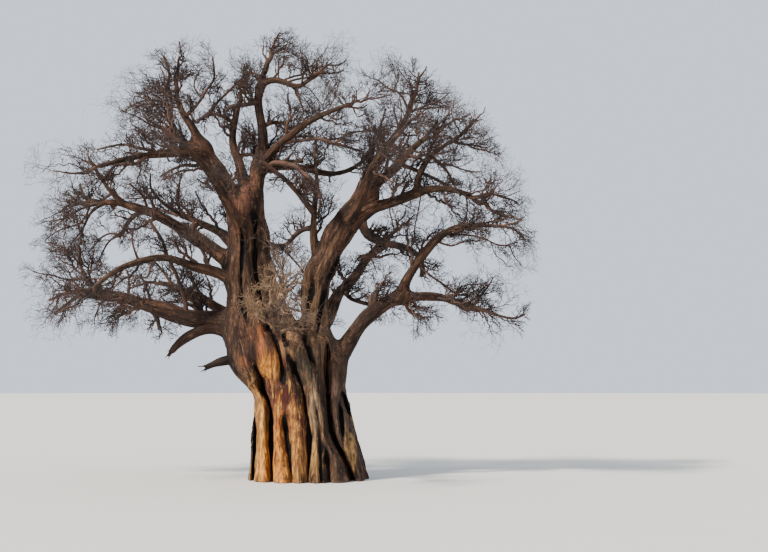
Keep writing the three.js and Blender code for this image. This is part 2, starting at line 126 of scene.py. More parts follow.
# %% The boughs' sizes
MM = 0.001
BOUGHS = {
    "left_stem": dict(
        root=(-1570, 0, 4600), length=5500, bearing=(0, 0), rise=(101, 98, 91), thick=(2300, 1150)),
    "right_stem": dict(
        root=(170, 150, 4500), length=6300, bearing=(0, 0), rise=(90, 75, 36), thick=(1300, 860)),
    "right_low": dict(
        root=(760, -100, 3850), length=5920, bearing=(5, 28), rise=(69, 32, -21), thick=(800, 270),
        reach=2300, lift=-4),
    "great_low_left": dict(
        root=(-1950, -100, 5290), length=6250, bearing=(178, 164), rise=(8, 16, 6), thick=(950, 300),
        reach=2200, lift=-6),
    "hooked_stub": dict(
        root=(-2150, -150, 4400), length=3200, bearing=(183, 185), rise=(62, 4, -54), thick=(540, 250),
        knobs=0.3),
    "short_stub": dict(
        root=(-1850, -300, 4420), length=1750, bearing=(188, 182), rise=(0, -14, -26), thick=(380, 220),
        knobs=0.3),
    "front_low": dict(
        root=(-1100, -700, 5000), length=4700, bearing=(272, 282), rise=(22, 14, 8), thick=(520, 190),
        reach=2500, lift=10),
    "back_centre": dict(
        root=(-1300, 600, 5000), length=6000, bearing=(98, 112), rise=(48, 38, 20), thick=(680, 210),
        reach=2600, lift=25),
    "back_right": dict(
        root=(150, 400, 4900), length=6000, bearing=(58, 48), rise=(42, 48, 30), thick=(640, 210),
        reach=2600, lift=25),
    "great_left": dict(
        carrier="left_stem", at=0.46, length=7600, bearing=(168, 152), rise=(37, 28, 0),
        thick=(700, 220), reach=2200, lift=6),
    "great_left_low": dict(
        carrier="left_stem", at=0.35, length=6150, bearing=(198, 216), rise=(30, 8, -44),
        thick=(460, 180), reach=2200, lift=0),
    "lower_left_inner": dict(
        carrier="left_stem", at=0.16, length=5400, bearing=(155, 130), rise=(16, 23, 6),
        thick=(460, 200), reach=2300, lift=5),
    "low_left_riser": dict(
        carrier="great_low_left", at=0.92, length=2000, bearing=(196, 204), rise=(20, 60, 92),
        thick=(220, 120), reach=1900, lift=20),
    "upper_left": dict(
        carrier="left_stem", at=0.74, length=4050, bearing=(180, 176), rise=(72, 64, 42),
        thick=(860, 560)),
    "top_left": dict(
        carrier="upper_left", at=1, length=2200, bearing=(178, 165), rise=(88, 56, 96),
        thick=(360, 180), reach=2000, lift=108),
    "high_left": dict(
        carrier="upper_left", at=0.95, length=2100, bearing=(165, 150), rise=(8, 46, 94),
        thick=(340, 160), reach=2200, lift=28),
    "far_left_high": dict(
        carrier="upper_left", at=0.92, length=3650, bearing=(192, 212), rise=(-6, -12, -22),
        thick=(450, 160), reach=2300, lift=22),
    "middle_stem": dict(
        carrier="left_stem", at=0.97, length=3600, bearing=(180, 150), rise=(80, 80, 104),
        thick=(500, 220), reach=1900, lift=95),
    "centre_stem": dict(
        carrier="left_stem", at=0.93, length=5600, bearing=(0, 0), rise=(61, 91, 69),
        thick=(680, 190), reach=1350, lift=84),
    "centre_right_arm": dict(
        carrier="centre_stem", at=0.82, length=2000, bearing=(345, 325), rise=(65, -25, 40),
        thick=(270, 160), reach=2100, lift=20),
    "crossing_high": dict(
        carrier="centre_stem", at=0.31, length=4150, bearing=(342, 318), rise=(47, 25, 6),
        thick=(360, 150), reach=2200, lift=10),
    "crossing_low": dict(
        carrier="centre_stem", at=0.29, length=4500, bearing=(15, 38), rise=(16, -2, 50),
        thick=(360, 150), reach=2100, lift=40),
    "centre_fork": dict(
        carrier="right_stem", at=0.5, length=3400, bearing=(180, 150), rise=(64, 93, 80),
        thick=(360, 150), reach=2000, lift=110),
    "right_high": dict(
        carrier="right_stem", at=0.98, length=3800, bearing=(0, 30), rise=(88, 55, 72),
        thick=(520, 190), reach=2200, lift=66),
    "right_diagonal": dict(
        carrier="right_high", at=0.12, length=2750, bearing=(340, 330), rise=(7, 42, 28),
        thick=(470, 180), reach=2300, lift=25),
    "right_outer": dict(
        carrier="right_stem", at=0.7, length=5550, bearing=(358, 338), rise=(32, 20, -36),
        thick=(600, 180), reach=2300, lift=0),
    "right_sweep": dict(
        carrier="right_outer", at=0.62, length=3450, bearing=(20, 48), rise=(105, 36, 40),
        thick=(250, 130), reach=2300, lift=15),
    "right_low_riser": dict(
        carrier="right_low", at=0.65, length=4400, bearing=(350, 322), rise=(78, 40, -8),
        thick=(460, 170), reach=2200, lift=4),
    "front_left": dict(
        carrier="left_stem", at=0.7, length=4800, bearing=(248, 232), rise=(30, 44, 24),
        thick=(540, 190), reach=2600, lift=25),
    "front_right": dict(
        carrier="right_stem", at=0.74, length=4500, bearing=(308, 298), rise=(30, 42, 20),
        thick=(460, 180), reach=2600, lift=25),
    "back_left": dict(
        carrier="left_stem", at=0.6, length=5400, bearing=(122, 136), rise=(26, 24, 14),
        thick=(560, 190), reach=2600, lift=18),
    "back_high": dict(
        carrier="left_stem", at=0.98, length=3900, bearing=(74, 62), rise=(58, 46, 32),
        thick=(460, 170), reach=2500, lift=40),
}
print(len(BOUGHS), "boughs,", sum("reach" in bough for bough in BOUGHS.values()), "carry twigs")

# %% [markdown]
# A path is a list of places with a radius at each. A real limb isn't a smooth arc: it swells where it
# forks and wavers as it goes. So each path gets a soft sway that is nothing at its tip, where the mass of
# twigs joins, and that follows its carrier at the root.

# %% Paths of the boughs
LIMB_STEP = 0.15  # metres between two places on a bough's path
SWAY = 0.13  # most that a bough strays from its even arc
SWAY_LENGTH = 1.3  # from one bend of the sway to the next
ROOT_SWELLING = 0.22  # extra share of a bough's radius where it leaves its carrier
SWELLING_REACH = 1.6  # how far along the bough that goes, in radii of its root
KNOBS = 0.1  # share of the radius by which a bough swells and narrows
KNOB_RATE = 2  # knobs for each bend of the sway
LOOSE_SHARE = 0.5  # of its root's radius, that a thin bough may stray
LOOSE_LEAST = 0.03  # metres that any bough may stray
BOUGH_SEED = 11
random = np.random.default_rng(BOUGH_SEED)


def heading(bearing, rise):
    b = math.radians(bearing)
    r = math.radians(rise)
    return np.array([math.cos(b) * math.cos(r), math.sin(b) * math.cos(r), math.sin(r)])


def through(values, t):
    """The value at share t of a quantity that passes through three values."""
    root, middle, tip = values
    return root * (1 - t) * (1 - 2 * t) + 4 * middle * t * (1 - t) + tip * t * (2 * t - 1)


def along(path, t):
    """The place, direction and radius at share t of a path."""
    places, radii = path
    reach = min(max(t, 0.0), 1.0) * (len(places) - 1)
    k = min(int(reach), len(places) - 2)
    step = places[k + 1] - places[k]
    share = reach - k
    radius = radii[k] + (radii[k + 1] - radii[k]) * share
    return places[k] + step * share, step / np.linalg.norm(step), radius


def sway(count, length):
    """A soft wander in three directions that starts and ends at nothing."""
    bends = max(2, round(length / SWAY_LENGTH))
    knots = random.uniform(-1, 1, (bends + 1, 3))
    knots[0] = knots[-1] = 0
    at = np.linspace(0, bends, count)
    k = np.minimum(at.astype(int), bends - 1)
    share = (at - k)[:, None]
    soft = share * share * (3 - 2 * share)
    return knots[k] * (1 - soft) + knots[k + 1] * soft


def bough_path(bough, carriers):
    """A bough's path, its even arc first and then the same arc with its sway."""
    length = bough["length"] * MM
    steps = round(length / LIMB_STEP)
    if "root" in bough:
        start = np.array(bough["root"]) * MM
        shift = np.zeros(3)
    else:
        even, swayed = carriers[bough["carrier"]]
        start = along(even, bough["at"])[0]
        shift = along(swayed, bough["at"])[0] - start
    first, second = bough["bearing"]
    second += round((first - second) / 360) * 360
    t = (np.arange(steps) + 0.5) / steps
    turns = [heading(first + (second - first) * s, through(bough["rise"], s)) for s in t]
    places = np.vstack([start, start + np.cumsum(turns, axis=0) * length / steps])
    thick, thin = np.array(bough["thick"]) * MM / 2
    share = np.linspace(0, 1, steps + 1)
    radii = thick + (thin - thick) * share
    loose = min(SWAY, LOOSE_SHARE * thick + LOOSE_LEAST)
    swayed = places + shift * (1 - share[:, None]) ** 2 + loose * sway(steps + 1, length)
    swelling = 1 + ROOT_SWELLING * np.exp(-share * length / (SWELLING_REACH * thick))
    knobs = 1 + bough.get("knobs", KNOBS) * sway(steps + 1, KNOB_RATE * length)[:, 0]
    return (places, radii), (swayed, radii * swelling * knobs)


paths = {}
for name, bough in BOUGHS.items():
    paths[name] = bough_path(bough, paths)
even_paths = {name: pair[0] for name, pair in paths.items()}
limbs = {name: pair[1] for name, pair in paths.items()}
print("length of all boughs:", round(sum(b["length"] for b in BOUGHS.values()) * MM, 1), "m")

# %% [markdown]
# ## The trunk
# The trunk is a bundle of ribs with deep folds between them. Its silhouette is given as the two edges and
# the half depth at a few heights. The folds are given as lines, each a list of places across the front or
# the back and heights, because on the real tree no two folds run alike: some go from the ground to the
# fork, and some die out halfway.

# %% The trunk's sizes
TRUNK = [  # height, left edge, right edge, half depth, in millimetres
    (0, -2150, 2190, 2080),
    (650, -2080, 2050, 1930),
    (1400, -2070, 1840, 1790),
    (2100, -2000, 1640, 1660),
    (2800, -1960, 1450, 1560),
    (3500, -2090, 1370, 1530),
    (4100, -2340, 1300, 1520),
    (4650, -2640, 1000, 1440),
    (5150, -2700, 780, 1270),
    (5550, -2350, 480, 930),
]
FRONT, BACK = -1, 1
FOLDS = [  # side, depth (a ridge's is less than nothing), width, then places across and heights, in metres
    (FRONT, -0.11, 0.07, [(0.36, 2.9), (0.43, 2.6), (0.58, 2.2), (0.69, 1.7), (0.86, 1.2), (1.1, 0.3)]),
    (FRONT, 0.30, 0.10, [(-1.91, 0.0), (-1.87, 1.0), (-1.88, 1.7), (-1.95, 2.4)]),
    (FRONT, 0.60, 0.13, [(-1.19, 0.0), (-1.22, 1.0), (-1.26, 1.7), (-1.30, 2.45), (-1.37, 2.8),
                         (-1.58, 3.2), (-1.69, 3.7), (-1.87, 4.2)]),
    (FRONT, 0.45, 0.14, [(-0.45, 0.0), (-0.58, 1.0), (-0.68, 1.7), (-0.76, 2.4)]),
    (FRONT, 0.62, 0.15, [(0.07, 0.0), (0.11, 1.0), (0.11, 1.7), (0.0, 2.3), (-0.07, 2.8), (-0.18, 3.35),
                         (-0.36, 3.75), (-0.5, 4.1), (-0.65, 4.5)]),
    (FRONT, 0.42, 0.13, [(-0.79, 3.3), (-0.86, 4.0), (-0.94, 4.43), (-1.08, 4.86), (-1.3, 5.3),
                         (-1.55, 5.9), (-1.74, 6.6), (-1.88, 7.4), (-1.92, 8.4), (-1.95, 9.6)]),
    (FRONT, 0.20, 0.10, [(-2.0, 5.3), (-2.28, 6.2), (-2.36, 7.2), (-2.3, 8.2), (-2.42, 9.2)]),
    (FRONT, 0.20, 0.10, [(0.3, 4.9), (0.42, 6.0), (0.7, 7.1), (1.2, 8.2)]),
    (FRONT, 0.16, 0.09, [(-0.15, 5.0), (-0.05, 6.0), (0.2, 7.2)]),
    (BACK, 0.25, 0.12, [(-2.1, 4.6), (-2.2, 6.4), (-2.25, 8.6)]),
    (FRONT, 0.25, 0.10, [(-0.64, 4.5), (-0.83, 5.1), (-0.97, 5.6)]),
    (FRONT, 0.36, 0.11, [(0.42, 3.7), (0.14, 4.36), (-0.04, 4.8), (-0.18, 5.26), (-0.32, 5.7)]),
    (FRONT, 0.62, 0.14, [(1.62, 0.0), (1.33, 0.76), (1.08, 1.22), (0.86, 1.7), (0.76, 2.3), (0.72, 2.8),
                         (0.68, 3.35), (0.65, 3.9), (0.68, 4.4), (0.7, 4.9)]),
    (FRONT, 0.42, 0.14, [(0.82, 0.0), (0.76, 0.65), (0.66, 1.3)]),
    (FRONT, 0.40, 0.13, [(2.1, 0.0), (1.87, 1.1), (1.73, 1.65), (1.55, 2.16), (1.37, 2.6), (1.2, 3.2)]),
    (FRONT, 0.20, 0.10, [(1.3, 1.3), (1.19, 2.2), (1.1, 3.0)]),
    (FRONT, 0.24, 0.10, [(0.56, 0.0), (0.54, 1.0), (0.47, 1.9), (0.32, 2.9)]),
    (BACK, 0.40, 0.13, [(-1.75, 0.0), (-1.7, 1.6), (-1.72, 3.4)]),
    (BACK, 0.58, 0.15, [(-1.0, 0.0), (-1.1, 2.0), (-1.25, 3.4), (-1.5, 5.0)]),
    (BACK, 0.45, 0.13, [(-0.35, 0.0), (-0.4, 1.6), (-0.55, 2.9)]),
    (BACK, 0.60, 0.15, [(0.25, 0.0), (0.2, 1.5), (0.0, 3.2), (-0.3, 5.0)]),
    (BACK, 0.40, 0.12, [(0.9, 0.0), (0.72, 1.4), (0.6, 2.6)]),
    (BACK, 0.55, 0.14, [(1.55, 0.0), (1.25, 1.6), (0.95, 3.2), (0.6, 4.8)]),
    (BACK, 0.30, 0.11, [(-0.75, 3.0), (-0.85, 4.2), (-1.0, 5.3)]),
]
print(len(FOLDS), "folds, the deepest", max(fold[1] for fold in FOLDS), "m")

# %% [markdown]
# ## One skin of bark
# Where a bough leaves a trunk, the bark flows from one to the other without an edge. Tubes pushed into
# each other would show a hard line there. So trunk and boughs are added up in a field of distances
# instead: every cell of a fine grid holds how far it lies outside the wood, and two limbs are joined by
# a soft minimum, which fills the fork as growing wood does. The folds are then pressed into the same
# field, and one skin is drawn where the distance is nothing.

# %% A field of distances
CELL = 0.035  # metres from one cell of the grid to the next
FAR = 1.0  # distance given to cells well outside the wood
FIELD_MARGIN = 0.8  # metres of grid past the boughs' paths
CELLS_UNDER_GROUND = 4
TRUNK_LOW = (-3.2, -2.6, -1)  # a corner of the space that the trunk takes up
BLEND_MARGIN = 0.08  # metres past its blend in which a limb is worked out
FAR_BLEND = 0.05  # width of the blend where a limb isn't near
LEAST_BLEND = 0.04  # and along it, away from its root
BLEND_LENGTH = (2.2, 2)  # how far a root's blend reaches, in radii of the root and in widths of the blend
all_places = np.vstack([places for places, radii in limbs.values()])
field_low = np.floor((all_places.min(axis=0) - FIELD_MARGIN) / CELL) * CELL
field_low[2] = -CELLS_UNDER_GROUND * CELL
field_low = np.minimum(field_low, (*TRUNK_LOW[:2], field_low[2]))
field_shape = np.ceil((all_places.max(axis=0) + FIELD_MARGIN - field_low) / CELL).astype(int)
field = np.full(field_shape, FAR, dtype=np.float32)
print("grid from", field_low.round(2).tolist(), "with", field_shape.tolist(), "cells")


def cells(low, high):
    """The part of the grid between two corners, as slices and as places along each axis."""
    first = np.maximum(np.floor((np.asarray(low) - field_low) / CELL).astype(int), 0)
    last = np.minimum(np.ceil((np.asarray(high) - field_low) / CELL).astype(int) + 1, field_shape)
    part = tuple(slice(a, b) for a, b in zip(first, last))
    axes = [field_low[i] + CELL * np.arange(first[i], last[i], dtype=np.float32) for i in range(3)]
    return part, axes[0][:, None, None], axes[1][None, :, None], axes[2][None, None, :]


def soft_minimum(a, b, blend):
    near = np.clip(1 - np.abs(a - b) / blend, 0, 1)
    return np.minimum(a, b) - near * near * blend / 4


def add_limb(path, blend_root):
    """Adds one limb to the field. Its blend is widest at its root and fades along it."""
    places, radii = path
    margin = blend_root + BLEND_MARGIN
    widest = radii.max() + margin
    part, x, y, z = cells(places.min(axis=0) - widest, places.max(axis=0) + widest)
    near = np.full(field[part].shape, FAR, dtype=np.float32)
    blend = np.full(near.shape, FAR_BLEND, dtype=np.float32)
    blend_reach = BLEND_LENGTH[0] * radii[0] + BLEND_LENGTH[1] * blend_root
    run = 0.0
    for a, b, ra, rb in zip(places, places[1:], radii, radii[1:]):
        out = max(ra, rb) + margin
        piece, px, py, pz = cells(np.minimum(a, b) - out, np.maximum(a, b) + out)
        inner = tuple(slice(p.start - q.start, p.stop - q.start) for p, q in zip(piece, part))
        ab = b - a
        long = float(ab @ ab)
        t = np.clip(((px - a[0]) * ab[0] + (py - a[1]) * ab[1] + (pz - a[2]) * ab[2]) / long, 0, 1)
        away = (px - a[0] - t * ab[0]) ** 2 + (py - a[1] - t * ab[1]) ** 2 + (pz - a[2] - t * ab[2]) ** 2
        distance = np.sqrt(away) - (ra + t * (rb - ra))
        closer = distance < near[inner]
        near[inner][closer] = distance[closer]
        fade = max(0.0, 1 - run / blend_reach)
        blend[inner][closer] = LEAST_BLEND + blend_root * fade
        run += math.sqrt(long)
    field[part] = soft_minimum(field[part], near, blend)


rows = np.array(TRUNK) * MM


def trunk_row(height):
    """The middle, half width and half depth of the trunk at a height."""
    left, right, depth = (np.interp(height, rows[:, 0], rows[:, i]) for i in (1, 2, 3))
    return (left + right) / 2, (right - left) / 2, depth


# %% Fill the field with the trunk and the boughs
TRUNK_TOP = 5.4
TOP_ROUNDING = 0.7
TOP_MARGIN = 0.6
TRUNK_HIGH = (2.7, 2.6, TRUNK_TOP + TOP_MARGIN)
WIDEST_BLEND = 0.4
BLEND_SHARE = 0.75  # of a limb's root radius
STUBS = ["hooked_stub", "short_stub"]  # dead and broken off, so their ends are torn into splinters
SPLINTERS = 5  # at each end
SPLINTER_LENGTH = (0.15, 0.34)
SPLINTER_SPREAD = 0.5
SPLINTER_SHARE = 0.5  # of the stub's radius, for a splinter's own and for its shift from the middle
SPLINTER_TIP = 0.025
SPLINTER_SINK = 0.1
SPLINTER_BLEND = 0.02
SPLINTER_SEED = 29
part, x, y, z = cells(TRUNK_LOW, TRUNK_HIGH)
for k, height in enumerate(z.ravel()):
    middle, half, depth = trunk_row(height)
    oval = np.hypot((x[:, :, 0] - middle) / half, y[:, :, 0] / depth)
    field[part][:, :, k] = (oval - 1) * (half + depth) / 2
under_top = -soft_minimum(-field[part], -(z - TRUNK_TOP + 0 * x + 0 * y), TOP_ROUNDING)
field[part] = np.minimum(under_top, FAR)
for name, path in limbs.items():
    root = path[1][0]
    add_limb(path, min(WIDEST_BLEND, BLEND_SHARE * root))
torn = np.random.default_rng(SPLINTER_SEED)
for name in STUBS:
    places, radii = limbs[name]
    ahead = places[-1] - places[-2]
    ahead /= np.linalg.norm(ahead)
    for _ in range(SPLINTERS):
        foot = places[-1] + radii[-1] * torn.uniform(-SPLINTER_SHARE, SPLINTER_SHARE, 3)
        way = ahead + torn.uniform(-SPLINTER_SPREAD, SPLINTER_SPREAD, 3)
        tip = foot + way * torn.uniform(*SPLINTER_LENGTH)
        ends = np.array([foot - SPLINTER_SINK * way, tip])
        add_limb((ends, np.array([SPLINTER_SHARE * radii[-1], SPLINTER_TIP])), SPLINTER_BLEND)
print("wood in", round((field < 0).mean() * 100, 1), "% of", round(field.size / 1e6, 1), "million cells")

# %% [markdown]
# The folds go in last, so that they run on from the trunk over the roots of the stems, as they do on the
# tree. Each one raises the distance along its line, which draws the skin inwards there. It fades out at
# its ends, but not at the ground, and it is narrower near the trunk's edges, where the skin turns away.

# %% Press in the folds
FOLD_FADE = 0.55  # metres over which a fold dies out at its ends
FOLD_HIGH = (2.9, 2.6, 10.0)  # a corner of the space that the folds take up
FOLD_SHARPNESS = 1.3
EDGE_LEAST = 0.4  # the narrowest that a fold gets at the trunk's edge, as a share of its width
SIDE_SOFTNESS = 0.4  # metres over which the front's folds give way to the back's
STEM_FRONT = 1.9  # above the trunk, a fold reaches no further forward than this
STEM_FADE = 0.6


def value_noise(places, seed):
    """Smooth noise from 0 to 1, from a repeating block of random numbers."""
    size = 32
    block = np.random.default_rng(seed).random((size, size, size), dtype=np.float32)
    low = np.floor(places).astype(np.int64)
    part = places - low
    part = part * part * (3 - 2 * part)
    total = 0
    for corner in np.ndindex(2, 2, 2):
        weight = np.prod(np.where(corner, part, 1 - part), axis=-1)
        i, j, k = np.moveaxis((low + corner) % size, -1, 0)
        total = total + weight * block[i, j, k]
    return total


part, x, y, z = cells(TRUNK_LOW, FOLD_HIGH)
flat_x = x[:, :, 0]
flat_y = y[:, :, 0]
on_stems = np.clip((STEM_FRONT - np.abs(flat_y)) / STEM_FADE, 0, 1)
for k, height in enumerate(z.ravel()):
    middle, half, depth = trunk_row(height)
    cut = 0
    raised = 0
    for side, fold_depth, width, line in FOLDS:
        over, up = np.array(line).T
        strength = np.clip((up[-1] - height) / FOLD_FADE, 0, 1)
        if up[0] > 0:
            strength = min(strength, np.clip((height - up[0]) / FOLD_FADE, 0, 1))
        if strength <= 0:
            continue
        place = np.interp(height, up, over)
        edge = max(math.sqrt(max(1 - ((place - middle) / half) ** 2, 0)), EDGE_LEAST)
        away = np.abs(flat_x - place) / edge
        facing = np.clip(0.5 + side * flat_y / SIDE_SOFTNESS, 0, 1)
        here = strength * fold_depth * np.exp(-((away / width) ** FOLD_SHARPNESS)) * facing
        if height > TRUNK_TOP:
            here = here * on_stems
        if fold_depth > 0:
            cut = np.maximum(cut, here)
        else:
            raised = np.minimum(raised, here)
    field[part][:, :, k] += cut + raised
print("folds pressed in up to", round(float(z.max()), 1), "m")

# %% [markdown]
# The skin is drawn by OpenVDB, the library behind Blender's own voxel remesh. It gives even quads about
# as large as a cell. The ground cuts the trunk flat.

# %% Draw the skin
BAND = 3 * CELL
_, _, _, ground = cells(field_low, field_low + field_shape * CELL)
shape = np.maximum(field, -ground)
grid = openvdb.FloatGrid(BAND)
grid.copyFromArray(np.clip(shape, -BAND, BAND))
grid.transform = openvdb.createLinearTransform(CELL)
skin, quads = grid.convertToQuads(0.0)
skin = skin.astype(np.float64) + field_low
skin[:, 2] = np.maximum(skin[:, 2], 0)
print("skin:", len(skin), "points,", len(quads), "quads")

# %% [markdown]
# ## Relief along the limbs
# Bark on the boughs is smoother than on the trunk, but it still has long shallow grooves that follow the
# limb. To carve them, every point of the skin is told which limb it belongs to, how far along that limb
# it lies, and where round it. Those three numbers are the grain. Noise that is stretched along the grain
# gives grooves that bend with the limb, which noise in plain space can't do.

# %% Which limb a point belongs to
NAMES = ["trunk", *limbs]
SEARCH = 0.7  # metres round a limb in which points are tested
NOWHERE = FAR * 9  # a distance before any is measured
FIRST_SIDE = (0.31, 0.93, 0.2)  # a direction that no limb follows


def limb_frames(places):
    """A direction and a side for each piece of a path, turned as little as possible."""
    ahead = np.diff(places, axis=0)
    ahead /= np.linalg.norm(ahead, axis=1)[:, None]
    side = np.cross(ahead[0], FIRST_SIDE)
    sides = []
    for direction in ahead:
        side = side - direction * (side @ direction)
        side /= np.linalg.norm(side)
        sides.append(side)
    return ahead, np.array(sides)


def measure_limb(path, points):
    """How far points lie outside a limb, and their grain on it."""
    places, radii = path
    ahead, sides = limb_frames(places)
    best = np.full(len(points), NOWHERE)
    grain = np.zeros((len(points), 3))
    run = 0.0
    for k in range(len(places) - 1):
        rel = points - places[k]
        long = np.linalg.norm(places[k + 1] - places[k])
        t = np.clip(rel @ ahead[k], 0, long)
        off = rel - t[:, None] * ahead[k]
        away = np.linalg.norm(off, axis=1) - (radii[k] + (radii[k + 1] - radii[k]) * t / long)
        closer = away < best
        best[closer] = away[closer]
        across = np.cross(ahead[k], sides[k])
        grain[closer] = np.column_stack([off @ sides[k], off @ across, run + t])[closer]
        run += long
    return best, grain


nearest = np.full(len(skin), NOWHERE)
second = nearest.copy()
owner = np.zeros(len(skin), dtype=int)
grain = skin.copy()
low_points = skin[:, 2] < TRUNK_TOP + TOP_MARGIN
middle, half, depth = trunk_row(skin[:, 2])
oval = np.hypot((skin[:, 0] - middle) / half, skin[:, 1] / depth)
on_trunk = (oval - 1) * (half + depth) / 2 + np.maximum(skin[:, 2] - TRUNK_TOP, 0)
nearest[low_points] = on_trunk[low_points]
for number, name in enumerate(limbs, 1):
    places, radii = limbs[name]
    low = places.min(axis=0) - radii.max() - SEARCH
    high = places.max(axis=0) + radii.max() + SEARCH
    inside = np.flatnonzero(((skin > low) & (skin < high)).all(axis=1))
    away, its_grain = measure_limb(limbs[name], skin[inside])
    wins = away < nearest[inside]
    second[inside] = np.where(wins, nearest[inside], np.minimum(second[inside], away))
    nearest[inside[wins]] = away[wins]
    owner[inside[wins]] = number
    grain[inside[wins]] = its_grain[wins]
print("points on the trunk:", int((owner == 0).sum()), "of", len(skin))

# %% Normals of the skin, and its neighbours
INSIDE_TRUNK = (0, 0, 2)  # a place that every face of the trunk must turn away from
TINY = 1e-9
edge_from = quads.ravel()
edge_to = np.roll(quads, -1, axis=1).ravel()


def skin_normals(points):
    """The directions in which the skin faces at its points, from the quads round each."""
    a, b, c, d = (points[quads[:, k]] for k in range(4))
    across = np.cross(c - a, d - b)
    total = np.zeros_like(points)
    for axis in range(3):
        total[:, axis] = np.bincount(
            quads.ravel(), weights=np.repeat(across[:, axis], 4), minlength=len(points)
        )
    return total / np.maximum(np.linalg.norm(total, axis=1), TINY)[:, None]


def averaged(values, rounds):
    """Values on the skin's points, each round taking the mean of its neighbours'."""
    count = np.bincount(edge_from, minlength=len(values)) + np.bincount(edge_to, minlength=len(values))
    for _ in range(rounds):
        columns = []
        for column in values.T:
            total = np.bincount(edge_from, weights=column[edge_to], minlength=len(values))
            total += np.bincount(edge_to, weights=column[edge_from], minlength=len(values))
            columns.append(total / count)
        values = np.array(columns).T
    return values


normals = skin_normals(skin)
outward = np.einsum("ij,ij->i", normals[owner == 0], skin[owner == 0] - INSIDE_TRUNK).mean()
if outward < 0:
    quads = quads[:, ::-1].copy()
    edge_from = quads.ravel()
    edge_to = np.roll(quads, -1, axis=1).ravel()
    normals = -normals
print("faces turned outwards:", outward < 0)

# %% Carve the grooves
LIMB_RELIEF = 0.085  # metres by which the relief is scaled on a thick limb
THIN_RELIEF = 0.15  # and on a thin one, as a share of its radius
TRUNK_RELIEF = 0.075  # metres, and on the trunk
FORK_CALM = 0.25  # metres from a fork within which the relief grows calm
LEAST_CALM = 0.25  # share of the relief that is left in a fork
CALM_FROM = 3.6  # height up to which the trunk keeps all its relief
GROUND_FADE = 0.1  # metres above the ground over which the relief sets in
TRUNK_FINENESS = 3.6  # about how many grooves there are in a metre across the trunk
LIMB_FINENESS = 1.7  # and on a limb, this over its root's radius
LEAST_FINENESS, MOST_FINENESS = 2.4, 8
GRAIN_NOISES = [  # share of the fineness across, fineness lengthwise, shift from limb to limb, seed
    (1, 0.45, 7.3, 21),
    (2.3, 1.1, 3.1, 22),
    (0.8, 1.6, 5.7, 23),
]
GROOVE_SHARPNESS = 3
FINE_WEIGHT = 0.45
GROOVE_WEIGHT = 0.8
SWELL_WEIGHT = 0.9
root_radius = np.array([1.0] + [path[1][0] for path in limbs.values()])
tip_radius = np.array([1.0] + [path[1][-1] for path in limbs.values()])
length_of = np.array([1.0] + [b["length"] * MM for b in BOUGHS.values()])
run_share = np.clip(grain[:, 2] / length_of[owner], 0, 1)
local_radius = root_radius[owner] * (1 - run_share) + tip_radius[owner] * run_share
fineness = np.clip(LIMB_FINENESS / root_radius[owner], LEAST_FINENESS, MOST_FINENESS)
fineness[owner == 0] = TRUNK_FINENESS
calm = np.clip((second - nearest) / FORK_CALM, 0, 1)
calm = calm * calm * (3 - 2 * calm)


def grain_noise(share, lengthwise, shift, seed):
    """Noise that is long and narrow along the grain, and different on each limb."""
    across = fineness * share
    scale = np.column_stack([across, across, np.full(len(across), lengthwise)])
    return value_noise(grain * scale + owner[:, None] * shift, seed)


def grooved(noise):
    """High along the middle value of the noise, where it draws lines, and low elsewhere."""
    return (1 - np.abs(2 * noise - 1)) ** GROOVE_SHARPNESS


broad_noise, fine_noise, lumps = (grain_noise(*row) for row in GRAIN_NOISES)
groove = grooved(broad_noise) + FINE_WEIGHT * grooved(fine_noise)
swell = (lumps - 0.5) * SWELL_WEIGHT
reach = np.where(owner == 0, TRUNK_RELIEF, np.minimum(LIMB_RELIEF, THIN_RELIEF * local_radius))
calm[(owner == 0) & (skin[:, 2] < CALM_FROM)] = 1
calm = LEAST_CALM + (1 - LEAST_CALM) * calm
above_ground = np.clip(skin[:, 2] / GROUND_FADE, 0, 1)
relief = (swell - groove * GROOVE_WEIGHT) * reach * calm * above_ground
skin = skin + normals * relief[:, None]
skin[:, 2] = np.maximum(skin[:, 2], 0)
normals = skin_normals(skin)
print("relief from", round(float(relief.min()) * 1000), "to", round(float(relief.max()) * 1000), "mm")

# %% Measure how deep each point lies in a fold
NARROW_ROUNDS, WIDE_ROUNDS, LAST_ROUNDS = 10, 60, 2
NARROW_WEIGHT, WIDE_WEIGHT = 8, 3
narrow = averaged(skin, NARROW_ROUNDS)
wide = averaged(narrow, WIDE_ROUNDS)
cavity = NARROW_WEIGHT * np.einsum("ij,ij->i", narrow - skin, normals)
cavity += WIDE_WEIGHT * np.einsum("ij,ij->i", wide - skin, normals)
cavity = np.clip(averaged(cavity[:, None], LAST_ROUNDS)[:, 0], -1, 1)
print("cavity from", round(float(cavity.min()), 2), "to", round(float(cavity.max()), 2))

# %% [markdown]
# ## Bark colours
# Old baobab bark is grey-brown, but where it has peeled or been torn, the inner bark shows ochre, orange
# and dark maroon. The colour is built in layers, as a scenic painter would do it: a streaked ground
# colour, patches sprayed on by place (a few of them are painted shade and painted shadow, in a hollow,
# under a bough's root and on the short stub), ridges made paler by wear and a painted highlight, dark
# lines, maroon and sunlit flecks, flakes, and painted shade that takes the folds to near black. Streaks
# and patches are node groups, because many layers use them.

# %% Helpers for node trees
GAMMA = 2.2


def add(tree, kind, inputs=None, **settings):
    """Adds a node, sets it up, and plugs in values or other nodes' outputs."""
    made = tree.nodes.new(kind)
    for name, value in settings.items():
        setattr(made, name, value)
    for socket, value in (inputs or {}).items():
        if isinstance(value, bpy.types.NodeSocket):
            tree.links.new(value, made.inputs[socket])
        else:
            made.inputs[socket].default_value = value
    return made


